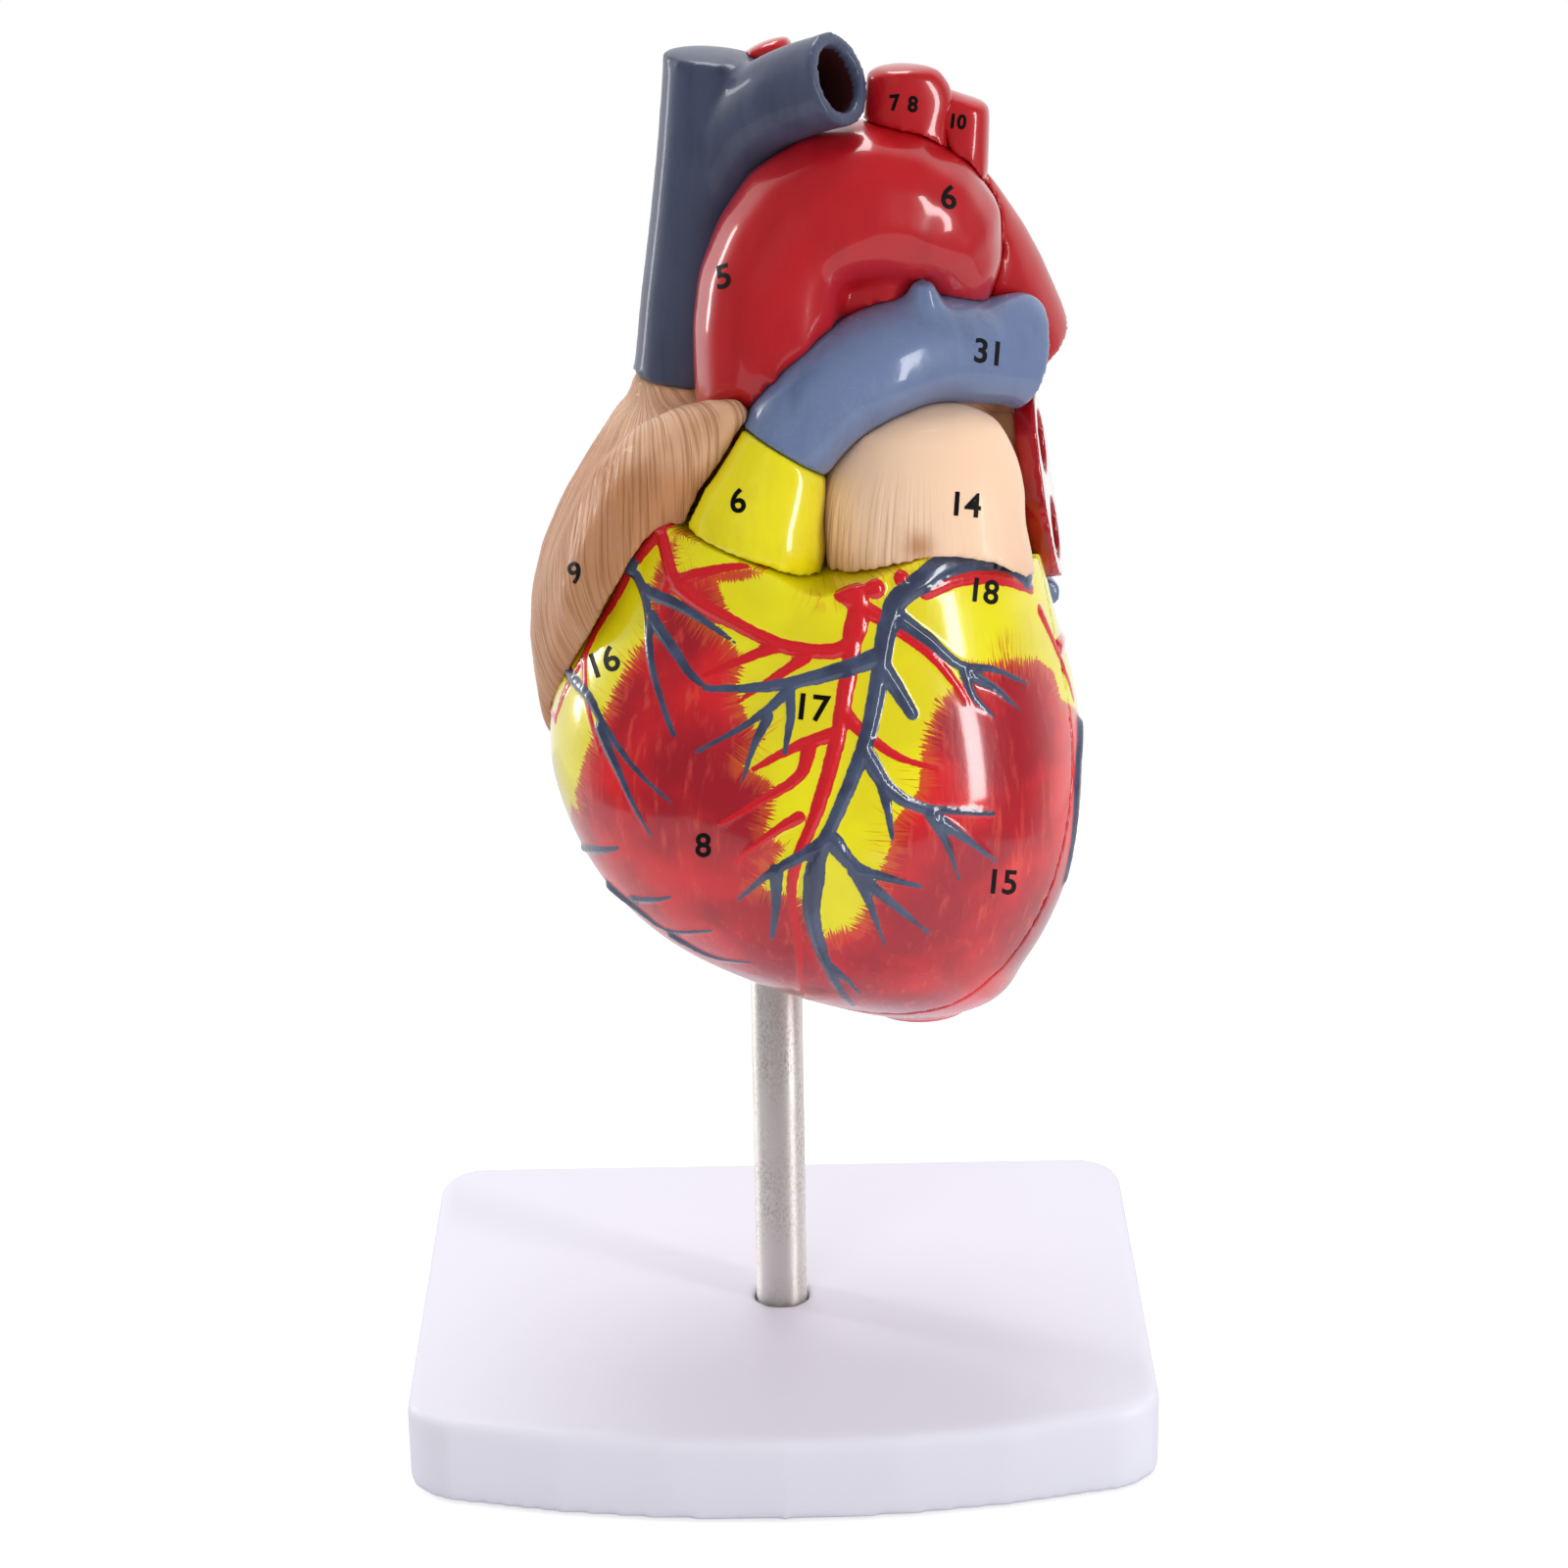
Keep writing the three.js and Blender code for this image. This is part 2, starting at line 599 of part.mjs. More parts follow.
// The base's outline, drawn in by an inset, as a prism between two heights with softened edges
function basePrism(inset, bottom, top, edge = 0) {
  const half = BASE_WIDTH / 2 - inset - edge;
  const back = BASE_BACK - inset - edge;
  const front = -BASE_FRONT + inset + edge;
  const corner = Math.max(BASE_CORNER - inset - edge, 1);
  const bow = (share) => front - share * BASE_BOW;
  const shape = new THREE.Shape();
  shape.moveTo(-half + corner, back);
  shape.lineTo(half - corner, back);
  shape.absarc(half - corner, back - corner, corner, Math.PI / 2, 0, true);
  shape.lineTo(half, front + corner / 2);
  shape.quadraticCurveTo(half, bow(BOW_BESIDE_CORNER), half - corner, bow(BOW_AT_CORNER));
  shape.quadraticCurveTo(0, bow(2 - BOW_AT_CORNER), -half + corner, bow(BOW_AT_CORNER));
  shape.quadraticCurveTo(-half, bow(BOW_BESIDE_CORNER), -half, front + corner / 2);
  shape.lineTo(-half, back - corner);
  shape.absarc(-half + corner, back - corner, corner, Math.PI, Math.PI / 2, true);
  const bevel = { bevelEnabled: edge > 0, bevelThickness: edge, bevelSize: edge, bevelSegments: 2 };
  const depth = top - bottom - 2 * edge;
  const geometry = new THREE.ExtrudeGeometry(shape, { depth, curveSegments: 6, ...bevel });
  geometry.translate(0, 0, bottom + edge);
  return solid(geometry);
}

const footRows = { front: -BASE_FRONT + FOOT_INSET, back: BASE_BACK - FOOT_INSET };
const footSides = { left: FOOT_INSET - BASE_WIDTH / 2, right: BASE_WIDTH / 2 - FOOT_INSET };
function baseShell() {
  const whole = basePrism(0, BASE_LIFT - BASE_EDGE, BASE_HEIGHT, BASE_EDGE);
  const below = basePrism(-BASE_WALL, -BASE_HEIGHT, BASE_LIFT);
  const pocket = basePrism(BASE_WALL, -BASE_HEIGHT, BASE_HEIGHT - BASE_WALL);
  const roof = BASE_HEIGHT - BASE_WALL / 2;
  let shell = cut(whole, below, pocket);
  shell = shell.add(upright(ROD_RADIUS + ROD_HOLE_CLEARANCE + BOSS_WALL, bossBottom, roof));
  for (const x of Object.values(footSides)) {
    for (const y of Object.values(footRows)) {
      shell = shell.add(upright(POST_RADIUS, FOOT_HEIGHT + FIT, roof, x, y, 12));
    }
  }
  const rodHole = upright(ROD_RADIUS + ROD_HOLE_CLEARANCE, bossFloorTop, BASE_HEIGHT + 1);
  return cut(shell, rodHole, upright(SCREW_RADIUS + FIT, 0, BASE_HEIGHT, 0, 0, 16));
}
const supportRod = () => cut(upright(ROD_RADIUS, rodBottom, ROD_TOP), upright(rodBore, 0, FAR));
function rodInsert() {
  const plug = upright(rodBore - FIT, rodBottom, rodBottom + INSERT_LENGTH);
  return cut(plug, upright(SCREW_RADIUS + FIT, 0, rodBottom + SCREW_GRIP + FIT, 0, 0, 16));
}
function rodScrew() {
  const head = upright(SCREW_HEAD_RADIUS, SCREW_HEAD_LIFT, screwHeadTop, 0, 0, 16);
  const shank = upright(SCREW_RADIUS, screwHeadTop - FIT, rodBottom + SCREW_GRIP, 0, 0, 16);
  const [slotLength, slotWidth] = [1.5 * SCREW_HEAD_RADIUS, SCREW_HEAD_HEIGHT / 2];
  const slot = box(slotLength, slotWidth, slotWidth, 0, 0, SCREW_HEAD_LIFT);
  const crossSlot = box(slotWidth, slotLength, slotWidth, 0, 0, SCREW_HEAD_LIFT);
  return cut(head.add(shank), slot, crossSlot);
}
function rodWasher() {
  const disc = upright(WASHER_RADIUS, washerBottom, washerBottom + WASHER_THICKNESS);
  return cut(disc, upright(SCREW_RADIUS + FIT, 0, BASE_HEIGHT, 0, 0, 16));
}
function mountingSleeve() {
  return cut(upright(sleeveRadius, SLEEVE_BOTTOM, sleeveTop), upright(sleeveBore, 0, ROD_TOP + FIT));
}

// A disc magnet set flush in a half's parting face: side -1 in the front wall, +1 in the back half
function magnet([x, z], side, grow = 0) {
  const face = new THREE.Vector3(x, partingY(x, z), z).addScaledVector(partingNormal, side > 0 ? LID_GAP : 0);
  const start = face.clone().addScaledVector(partingNormal, -side * 2 * grow);
  const end = face.clone().addScaledVector(partingNormal, side * (MAGNET_THICKNESS + grow));
  return bar(start.toArray(), end.toArray(), MAGNET_RADIUS + grow);
}
// A pin glued in the front wall that finds its hole in the back half
function locatingPin([x, z], grow = 0) {
  const start = partingY(x, z) - PIN_SEAT;
  return bar([x, start - grow, z], [x, start + PIN_LENGTH + grow, z], PIN_RADIUS + grow);
}

// A hanging valve: a tapered tube whose lower edge is notched between its leaflets
function valveSeat({ ring, tip, top, bottom }, grow = 0) {
  return bar(ring, tip, top + grow, bottom + grow, 18);
}
function hangingValve(valve) {
  const { ring, tip, top, bottom, leaflets } = valve;
  const taper = (share) => top + (bottom - top) * share - LEAFLET;
  const inside = bar(between(ring, tip, -0.2), between(ring, tip, 1.2), taper(-0.2), taper(1.2), 18);
  const notches = Array.from({ length: leaflets }, (_, k) => {
    const turn = (2 * Math.PI * (k + 0.5)) / leaflets;
    const [x, y, z] = between(ring, tip, 1.05);
    const notch = new THREE.SphereGeometry(NOTCH_SIZE * bottom, 8, 6);
    notch.scale(1, 1, NOTCH_STRETCH);
    notch.translate(x + bottom * Math.cos(turn), y + bottom * Math.sin(turn), z);
    return solid(notch);
  });
  return cut(valveSeat(valve), inside, aboveFloor(), ...notches);
}

// A three-pocket valve: a round plug with three hollows and a slit between each two
function pocketValve([x, y, z]) {
  const pockets = [0, 1, 2].map((k) => {
    const turn = (2 * Math.PI * k) / 3;
    const pocket = new THREE.SphereGeometry(POCKET_SIZE * SEMILUNAR_RADIUS, 7, 5);
    pocket.translate(SEMILUNAR_RADIUS / 2, 0, SEMILUNAR_HEIGHT);
    const slitLength = SLIT_LENGTH * SEMILUNAR_RADIUS;
    const slit = new THREE.BoxGeometry(slitLength, SLIT_WIDTH, 3 * SEMILUNAR_HEIGHT);
    slit.translate(slitLength / 2, 0, 0);
    slit.rotateZ(Math.PI / 3);
    return [pocket, slit].map((geometry) => solid(geometry.rotateZ(turn).translate(x, y, z)));
  });
  return cut(upright(SEMILUNAR_RADIUS, z, z + SEMILUNAR_HEIGHT, x, y, 16), ...pockets.flat());
}

// A muscle that stands on the chamber's wall, with cords from its tip to the valve's edge
function papillary({ valve, foot, tip, radius, reach }, chamber) {
  const rim = CHORD_SPREAD.map((share) => {
    const [x, y, z] = between(valve.ring, valve.tip, 0.97);
    return [x + reach * share * (valve.bottom - LEAFLET), y - 0.4 * valve.bottom, z];
  });
  const cords = rim.map((end) => bar(between(tip, foot, 0.1), end, CHORD_RADIUS, CHORD_RADIUS, 5));
  const { back, lean, swell, tip: thin } = MUSCLE_ROOT;
  const rise = foot.map((v, i) => tip[i] - v);
  const root = [foot[0] + lean * rise[0], foot[1] + lean * rise[1], foot[2] - back * rise[2]];
  const stations = [
    [...root, swell * radius, swell * radius],
    [...foot, radius, radius],
    [...tip, thin * radius, thin * radius],
  ];
  const muscle = grown(stations, { sides: 8, steps: 4, endDome: MUSCLE_DOME });
  const whole = cords.reduce((sum, cord) => sum.add(cord), muscle);
  return cut(whole.intersect(chamber), behindLid, valveSeat(valve, FIT));
}

// How far forward the ventricles' surface stands at a point seen from the front
function frontOf(x, z) {
  const centres = VENTRICLES.map((s) => s[2]);
  let [low, high] = [0, 1];
  for (let k = 0; k < 30; k++) {
    const middle = (low + high) / 2;
    if (through(centres, middle) < z) low = middle;
    else high = middle;
  }
  const column = (i) => VENTRICLES.map((s) => s[i]);
  const [centreX, centreY, halfWidth, halfDepth] = [0, 1, 3, 4].map((i) => through(column(i), low));
  const share = Math.min(Math.abs(x - centreX) / halfWidth, 1);
  return centreY - halfDepth * Math.sqrt(1 - share * share);
}

// A coronary vessel half sunk in the front wall, thinning to its end
function coronary({ halfWidth, stand, route }) {
  const stations = route.map(([x, z], i) => {
    const thin = 1 - (0.4 * i) / (route.length - 1);
    return [x, frontOf(x, z) + halfWidth * thin - stand * thin, z, halfWidth * thin, halfWidth * thin];
  });
  return grown(stations, { side: Y_AXIS, sides: 5, steps: Math.ceil(1.4 * (route.length - 1)) });
}

// Cutters that several pieces share
const behindLid = inFront(LID_GAP);
const lidCut = lidSpace(LID_GAP);
const backHalfCut = backHalf(FIT);
const magnetPockets = (side) => MAGNETS.map((spot) => magnet(spot, side, FIT));
const pinHoles = PINS.map((spot) => locatingPin(spot, FIT));
const valveSeats = [valveSeat(MITRAL, FIT), valveSeat(TRICUSPID, FIT)];
const rightAtriumCut = rightAtrium(FIT);
const leftAtriumCut = leftAtrium(FIT);
const aortaCut = aorta(FIT);
const pulmonaryCut = trunk(FIT).add(ligament(FIT));
function outflow([x, y, z], below, above) {
  return upright(SEMILUNAR_RADIUS + FIT, z - below, z + above, x, y, 16);
}
const aorticWay = outflow(AORTIC_VALVE, OUTFLOW_DEPTHS.aortic, OUTFLOW_RISES.aortic);
const pulmonaryWay = outflow(PULMONARY_VALVE, OUTFLOW_DEPTHS.pulmonary, OUTFLOW_RISES.pulmonary);

function ventricleBackHalf() {
  const outer = cut(backHalf(), rightAtrium(FIT), lowerCava(FIT), sinus(FIT));
  const socketBore = upright(sleeveRadius + FIT, 0, sleeveTop + FIT);
  const hollow = cut(outer, leftChamber(), rightChamber(), aorticWay, ...valveSeats);
  return cut(hollow, socketBore, ...magnetPockets(1), ...pinHoles);
}
function frontWall() {
  const whole = CORONARIES.reduce((sum, vessel) => sum.add(coronary(vessel)), ventricles());
  const wall = whole.intersect(lidSpace());
  const seats = [MITRAL, TRICUSPID].map((valve) => valveSeat(valve, FIT));
  const pockets = [...seats, ...magnetPockets(-1), ...pinHoles];
  return cut(wall, leftChamber(), rightCavity(), pulmonaryWay, ...pockets);
}
function trunkRoot() {
  const root = trunk(0, { to: TRUNK_COLOUR_CHANGE, steps: 8 });
  return cut(root, lidCut, backHalfCut, rightAtriumCut, pulmonaryWay);
}
function pulmonaryArtery() {
  const bore = endBore(PULMONARY_TRUNK);
  const cutEnd = trunk(FIT, { to: TRUNK_COLOUR_CHANGE, steps: 8 });
  return cut(trunk(0, { from: TRUNK_COLOUR_CHANGE, steps: 10 }).add(ligament()), bore, cutEnd);
}
function aorticArch() {
  return cut(aorta(), backHalfCut, lidCut, pulmonaryCut, rightAtriumCut, crossingVein(FIT), aorticWay);
}
function descendingStub() {
  const bore = endBore(DESCENDING_AORTA);
  return cut(descendingAorta(), aortaCut, pulmonaryCut, leftAtriumCut, bore);
}
function stump(stations, grow = 0) {
  return grown(stations, { sides: 12, steps: 4, endDome: BRANCH_DOME, grow });
}
function branch(stations, ...cutters) {
  return cut(stump(stations), aortaCut, ...cutters);
}
function leftVeinBores() {
  const [start, end] = LEFT_VEIN_ENDS.map((s) => new THREE.Vector3(...s.slice(0, 3)));
  const out = end.clone().sub(start).normalize();
  const along = Z_AXIS.clone().addScaledVector(out, -out.z).normalize();
  return [-1, 1].map((side) => {
    const mouth = end.clone().addScaledVector(along, side * PULMONARY_VEIN_SPREAD);
    const bottom = mouth.clone().addScaledVector(out, -PULMONARY_VEIN_BORE_DEPTH);
    mouth.addScaledVector(out, PULMONARY_VEIN_BORE_DEPTH);
    return bar(bottom.toArray(), mouth.toArray(), PULMONARY_VEIN_BORE);
  });
}
function leftVeinEnds() {
  return cut(leftVeinPlate(), backHalfCut, leftAtriumCut, ...leftVeinBores());
}
function rightVein(start) {
  const end = start.map((v, i) => v + RIGHT_VEIN_REACH[i]);
  const stations = [start, end].map((p) => [...p, RIGHT_VEIN_RADIUS, RIGHT_VEIN_RADIUS]);
  const bore = endBore(stations, RIGHT_VEIN_RADIUS - VESSEL_WALL / 2, VESSEL_BORE_DEPTH);
  return cut(bar(start, end, RIGHT_VEIN_RADIUS), bore, leftAtriumCut, rightAtriumCut, backHalfCut);
}
function lowerCavaStub() {
  return cut(lowerCava(), rightAtriumCut, endBore(LOWER_VENA_CAVA));
}
function rightPulmonaryStub() {
  const stub = grown(RIGHT_PULMONARY_ARTERY, { sides: 12, steps: 4 });
  const cuts = [aortaCut, pulmonaryCut, venaCava(FIT), leftAtriumCut, rightAtriumCut];
  return cut(stub, ...cuts, endBore(RIGHT_PULMONARY_ARTERY));
}
function coronarySinus() {
  return cut(sinus(), leftAtriumCut, rightAtriumCut, lowerCava(FIT), leftVeinPlate(FIT), lidCut);
}
function bodyOfRightAtrium() {
  return cut(rightAtrium(), lidCut, pulmonaryCut, leftAtriumCut, ...valveSeats);
}
function bodyOfLeftAtrium() {
  return cut(leftAtrium(), backHalfCut, pulmonaryCut, aortaCut, leftAuricle(FIT), ...leftVeinBores());
}

const materials = {
  base: new THREE.MeshStandardMaterial({ color: 0xe9e8ee, roughness: 0.35 }),
  rubber: new THREE.MeshStandardMaterial({ color: 0x303030, roughness: 0.8 }),
  steel: new THREE.MeshStandardMaterial({ color: 0xb7b1aa, roughness: 0.3, metalness: 1 }),
  muscle: new THREE.MeshStandardMaterial({ color: 0xa31f2c, roughness: 0.2 }),
  artery: new THREE.MeshStandardMaterial({ color: 0xb01420, roughness: 0.15 }),
  vein: new THREE.MeshStandardMaterial({ color: 0x4c5a78, roughness: 0.3 }),
  fat: new THREE.MeshStandardMaterial({ color: 0xeee40a, roughness: 0.2 }),
  atrium: new THREE.MeshStandardMaterial({ color: 0xe2b48c, roughness: 0.45 }),
  valve: new THREE.MeshStandardMaterial({ color: 0xe9dcc4, roughness: 0.4 }),
  plastic: new THREE.MeshStandardMaterial({ color: 0xd8d4c8, roughness: 0.4 }),
};

const model = new THREE.Group();
function add(name, shape, material) {
  const { vertProperties, triVerts } = shape.getMesh();
  const geometry = new THREE.BufferGeometry();
  geometry.setAttribute("position", new THREE.BufferAttribute(vertProperties, 3));
  geometry.setIndex(new THREE.BufferAttribute(triVerts, 1));
  geometry.computeVertexNormals();
  const mesh = new THREE.Mesh(geometry, material);
  mesh.name = name;
  model.add(mesh);
}

add("base_shell", baseShell(), materials.base);
for (const [row, y] of Object.entries(footRows)) {
  for (const [side, x] of Object.entries(footSides)) {
    add(`base_foot_${row}_${side}`, upright(FOOT_RADIUS, 0, FOOT_HEIGHT, x, y, 20), materials.rubber);
  }
}
add("support_rod", supportRod(), materials.steel);
add("rod_insert", rodInsert(), materials.steel);
add("rod_screw", rodScrew(), materials.steel);
add("rod_washer", rodWasher(), materials.steel);
add("mounting_sleeve", mountingSleeve(), materials.plastic);

add("ventricle_back_half", ventricleBackHalf(), materials.muscle);
add("front_wall", frontWall(), materials.fat);
MAGNETS.forEach((spot, i) => {
  add(`back_magnet_${i + 1}`, magnet(spot, 1), materials.steel);
  add(`front_magnet_${i + 1}`, magnet(spot, -1), materials.steel);
});
PINS.forEach((spot, i) => add(`locating_pin_${i + 1}`, locatingPin(spot), materials.plastic));

add("right_atrium", bodyOfRightAtrium(), materials.atrium);
add("superior_vena_cava", cut(venaCava(), aortaCut), materials.vein);
const veinBore = endBore(CROSSING_VEIN, VEIN_BORE, VEIN_BORE_DEPTH);
add("left_brachiocephalic_vein", cut(crossingVein(), venaCava(FIT), veinBore), materials.vein);
add("inferior_vena_cava", lowerCavaStub(), materials.vein);
add("coronary_sinus", coronarySinus(), materials.vein);

add("aortic_arch", aorticArch(), materials.artery);
add("descending_aorta", descendingStub(), materials.artery);
const innominate = branch(BRACHIOCEPHALIC_ARTERY, crossingVein(FIT), venaCava(FIT));
add("brachiocephalic_artery", innominate, materials.artery);
add("left_common_carotid_artery", branch(CAROTID_ARTERY), materials.artery);
const besideSubclavian = [descendingAorta(FIT), stump(CAROTID_ARTERY, FIT)];
add("left_subclavian_artery", branch(SUBCLAVIAN_ARTERY, ...besideSubclavian), materials.artery);

add("pulmonary_trunk_root", trunkRoot(), materials.fat);
add("pulmonary_artery", pulmonaryArtery(), materials.vein);
add("right_pulmonary_artery", rightPulmonaryStub(), materials.vein);

add("left_auricle", cut(leftAuricle(), lidCut, pulmonaryCut, aortaCut, backHalfCut), materials.atrium);
add("left_atrium", bodyOfLeftAtrium(), materials.atrium);
add("left_pulmonary_veins", leftVeinEnds(), materials.artery);
for (const [name, start] of Object.entries(RIGHT_VEINS)) add(name, rightVein(start), materials.artery);

add("mitral_valve", hangingValve(MITRAL), materials.valve);
add("tricuspid_valve", hangingValve(TRICUSPID), materials.valve);
add("aortic_valve", pocketValve(AORTIC_VALVE), materials.valve);
add("pulmonary_valve", pocketValve(PULMONARY_VALVE), materials.valve);
for (const [name, muscle] of Object.entries(PAPILLARIES)) {
  const chamber = muscle.valve === MITRAL ? leftChamber(-FIT) : rightChamber(-FIT);
  add(`${name}_papillary_muscle`, papillary(muscle, chamber), materials.valve);
}

export default model;
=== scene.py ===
# %% [markdown]
# This is a life-size teaching model of the human heart on a stand. The heart is cast in two halves
# and painted by hand: crimson muscle, yellow fat, red arteries, blue-grey veins and tan atria, all
# under a glossy varnish. It turns on a steel rod in a white moulded base, and its front wall pulls
# off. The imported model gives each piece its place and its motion. The forms there are cut from few
# faces, so most pieces are made smooth here first and painted afterwards.

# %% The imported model
import json
import math
import bmesh
import bpy
import numpy as np
from mathutils import Matrix, Vector
from mathutils.bvhtree import BVHTree
from mathutils.kdtree import KDTree


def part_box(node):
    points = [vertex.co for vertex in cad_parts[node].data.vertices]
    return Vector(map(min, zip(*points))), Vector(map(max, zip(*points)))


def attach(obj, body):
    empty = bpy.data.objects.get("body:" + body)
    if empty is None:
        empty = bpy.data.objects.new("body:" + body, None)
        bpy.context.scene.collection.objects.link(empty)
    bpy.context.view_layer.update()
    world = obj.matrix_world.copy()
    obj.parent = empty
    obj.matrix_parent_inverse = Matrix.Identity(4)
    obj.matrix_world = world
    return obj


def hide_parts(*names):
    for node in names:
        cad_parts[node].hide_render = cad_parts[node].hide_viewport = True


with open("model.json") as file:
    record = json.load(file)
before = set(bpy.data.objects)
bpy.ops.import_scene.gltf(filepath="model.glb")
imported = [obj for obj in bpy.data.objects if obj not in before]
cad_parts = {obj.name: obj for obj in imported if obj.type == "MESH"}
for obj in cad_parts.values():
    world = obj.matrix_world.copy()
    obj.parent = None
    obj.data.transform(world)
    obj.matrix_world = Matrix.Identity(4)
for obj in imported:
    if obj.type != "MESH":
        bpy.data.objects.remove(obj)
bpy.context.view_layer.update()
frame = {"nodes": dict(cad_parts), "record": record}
MM = 0.001

# %% [markdown]
# The photograph was taken from in front and a little above. The camera could be found by trial and
# error, but its place, pitch and roll were worked out from the base's corners, the rod and the seam,
# so a point of the photograph is also a line of sight in the scene. The painted marks are laid along
# such lines later.

# %% Camera
IMAGE_WIDTH = 1600
SENSOR_WIDTH = 36.0
LENS = 87.7
CAMERA_PLACE = Vector((0.00213, -0.66692, 0.39635))
CAMERA_PITCH = math.radians(22.0)
CAMERA_ROLL = math.radians(-0.98)
FOCAL_PIXELS = LENS / SENSOR_WIDTH * IMAGE_WIDTH

camera_turn = Matrix.Rotation(math.pi / 2 - CAMERA_PITCH, 3, "X") @ Matrix.Rotation(CAMERA_ROLL, 3, "Z")
bpy.ops.object.camera_add()
camera = bpy.context.object
camera.name = "camera"
camera.data.lens = LENS
camera.data.sensor_width = SENSOR_WIDTH
camera.matrix_world = Matrix.Translation(CAMERA_PLACE) @ camera_turn.to_4x4()
bpy.context.scene.camera = camera


def sight_line(column, row):
    """Direction in which the camera sees a point of the photograph."""
    aim = Vector((column - IMAGE_WIDTH / 2, IMAGE_WIDTH / 2 - row, -FOCAL_PIXELS))
    return (camera_turn @ aim).normalized()


print("camera height above the table, m:", round(CAMERA_PLACE.z, 3))

# %% [markdown]
# Helpers for objects come next: one picks an object alone, one applies a modifier to it, and one
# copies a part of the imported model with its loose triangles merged. A copy is needed because a
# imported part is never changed.

# %% Helpers for objects
# Points that lie closer together than this many metres are one point
MERGE_REACH = 1e-6


def alone(piece):
    bpy.ops.object.select_all(action="DESELECT")
    piece.select_set(True)
    bpy.context.view_layer.objects.active = piece
    return piece


def modified(piece, kind, **settings):
    """The piece with one more modifier, applied at once."""
    alone(piece)
    bpy.ops.object.modifier_add(type=kind)
    modifier = piece.modifiers[-1]
    for key, value in settings.items():
        setattr(modifier, key, value)
    bpy.ops.object.modifier_apply(modifier=modifier.name)
    return piece


def merged(piece):
    """The piece without doubled points, so that its triangles hang together."""
    alone(piece)
    bpy.ops.object.mode_set(mode="EDIT")
    bpy.ops.mesh.select_all(action="SELECT")
    bpy.ops.mesh.remove_doubles(threshold=MERGE_REACH)
    bpy.ops.object.mode_set(mode="OBJECT")
    return piece


def copy_of(node, name):
    piece = bpy.data.objects.new(name, frame["nodes"][node].data.copy())
    piece.data.name = name
    piece.data.materials.clear()
    bpy.context.scene.collection.objects.link(piece)
    return merged(piece)


def vectors(piece, name):
    """Three numbers for each point of the mesh, such as its place or its normal."""
    flat = np.empty(3 * len(piece.data.vertices), dtype=np.float32)
    piece.data.vertices.foreach_get(name, flat)
    return flat.reshape(-1, 3).astype(float)


def coordinates(piece):
    return vectors(piece, "co") / MM


def normals(piece):
    return vectors(piece, "normal")


def move_points(piece, points):
    piece.data.vertices.foreach_set("co", (points * MM).astype(np.float32).ravel())
    piece.data.update()


def store(piece, name, values):
    """Keeps one number for each point of the mesh, which a material can read by name."""
    layer = piece.data.attributes.new(name, "FLOAT", "POINT")
    layer.data.foreach_set("value", np.asarray(values, dtype=np.float32))


print("helpers ready, numpy", np.__version__)

# %% [markdown]
# The cast organs are soft, rounded forms with crisp rims where they are cut or parted. Subdividing
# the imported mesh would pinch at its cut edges. Instead each copy is remeshed in small even squares
# and smoothed, and the smoothing fades out near the rims, so that the rims stay where they are. What
# smoothing takes off a round vessel is put back first by a small swelling.

# %% Smooth forms
# An edge is a rim if it is sharper than this. The smoothing is off up to the first distance in mm
# from a rim and full from the second on, in so many levels
RIM_ANGLE = math.radians(50)
RIM_KEPT = 0.2
RIM_FADE = 3.0
RIM_LEVELS = 20
RIM_STEP = 0.8
RIM_ROUNDS = 5
# Where two pieces become one: how near to the other a rim is dropped, and the swelling, in mm
SEAM_REACH = 2.0
SEAM_SWELL = 0.45


def rim_points(piece):
    """Points in mm along the edges that stand out sharply. Sharp valleys are smoothed away."""
    mesh = bmesh.new()
    mesh.from_mesh(piece.data)
    points = []
    for edge in mesh.edges:
        if len(edge.link_faces) == 2 and edge.calc_face_angle_signed(0) < RIM_ANGLE:
            continue
        start, end = (vertex.co / MM for vertex in edge.verts)
        steps = max(1, int((end - start).length / RIM_STEP))
        points += [start.lerp(end, k / steps) for k in range(steps + 1)]
    mesh.free()
    return points


def walls_of(piece):
    """The piece's faces in a form that lines can be cast at."""
    mesh = piece.data
    return BVHTree.FromPolygons([v.co for v in mesh.vertices], [face.vertices for face in mesh.polygons])


def tree_of(points):
    tree = KDTree(len(points))
    for k, point in enumerate(points):
        tree.insert(point, k)
    tree.balance()
    return tree


def faded(distance, near, far):
    """0 up to near, 1 from far on, and a smooth rise between."""
    share = np.clip((distance - near) / (far - near), 0, 1)
    return share * share * (3 - 2 * share)


def keep_rims(piece, rims):
    """A vertex group that lets smoothing act everywhere but near the rims."""
    group = piece.vertex_groups.new(name="soft")
    distance = np.full(len(piece.data.vertices), RIM_FADE)
    if rims:
        tree = tree_of(rims)
        distance = np.array([tree.find(point)[2] for point in coordinates(piece)])
    levels = np.round(faded(distance, RIM_KEPT, RIM_FADE) * RIM_LEVELS).astype(int)
    for level in np.unique(levels):
        group.add(np.flatnonzero(levels == level).tolist(), float(level) / RIM_LEVELS, "REPLACE")


def remeshed(piece, voxel):
    """The piece in even squares of the given size in mm."""
    return modified(piece, "REMESH", mode="VOXEL", voxel_size=voxel * MM, adaptivity=0)


def swollen(piece, swell, group=""):
    return modified(piece, "DISPLACE", strength=swell * MM, mid_level=0, vertex_group=group)


def relaxed(piece, rounds, group=""):
    return modified(piece, "SMOOTH", factor=0.5, iterations=rounds, vertex_group=group)


def smooth_shaded(piece):
    for polygon in piece.data.polygons:
        polygon.use_smooth = True


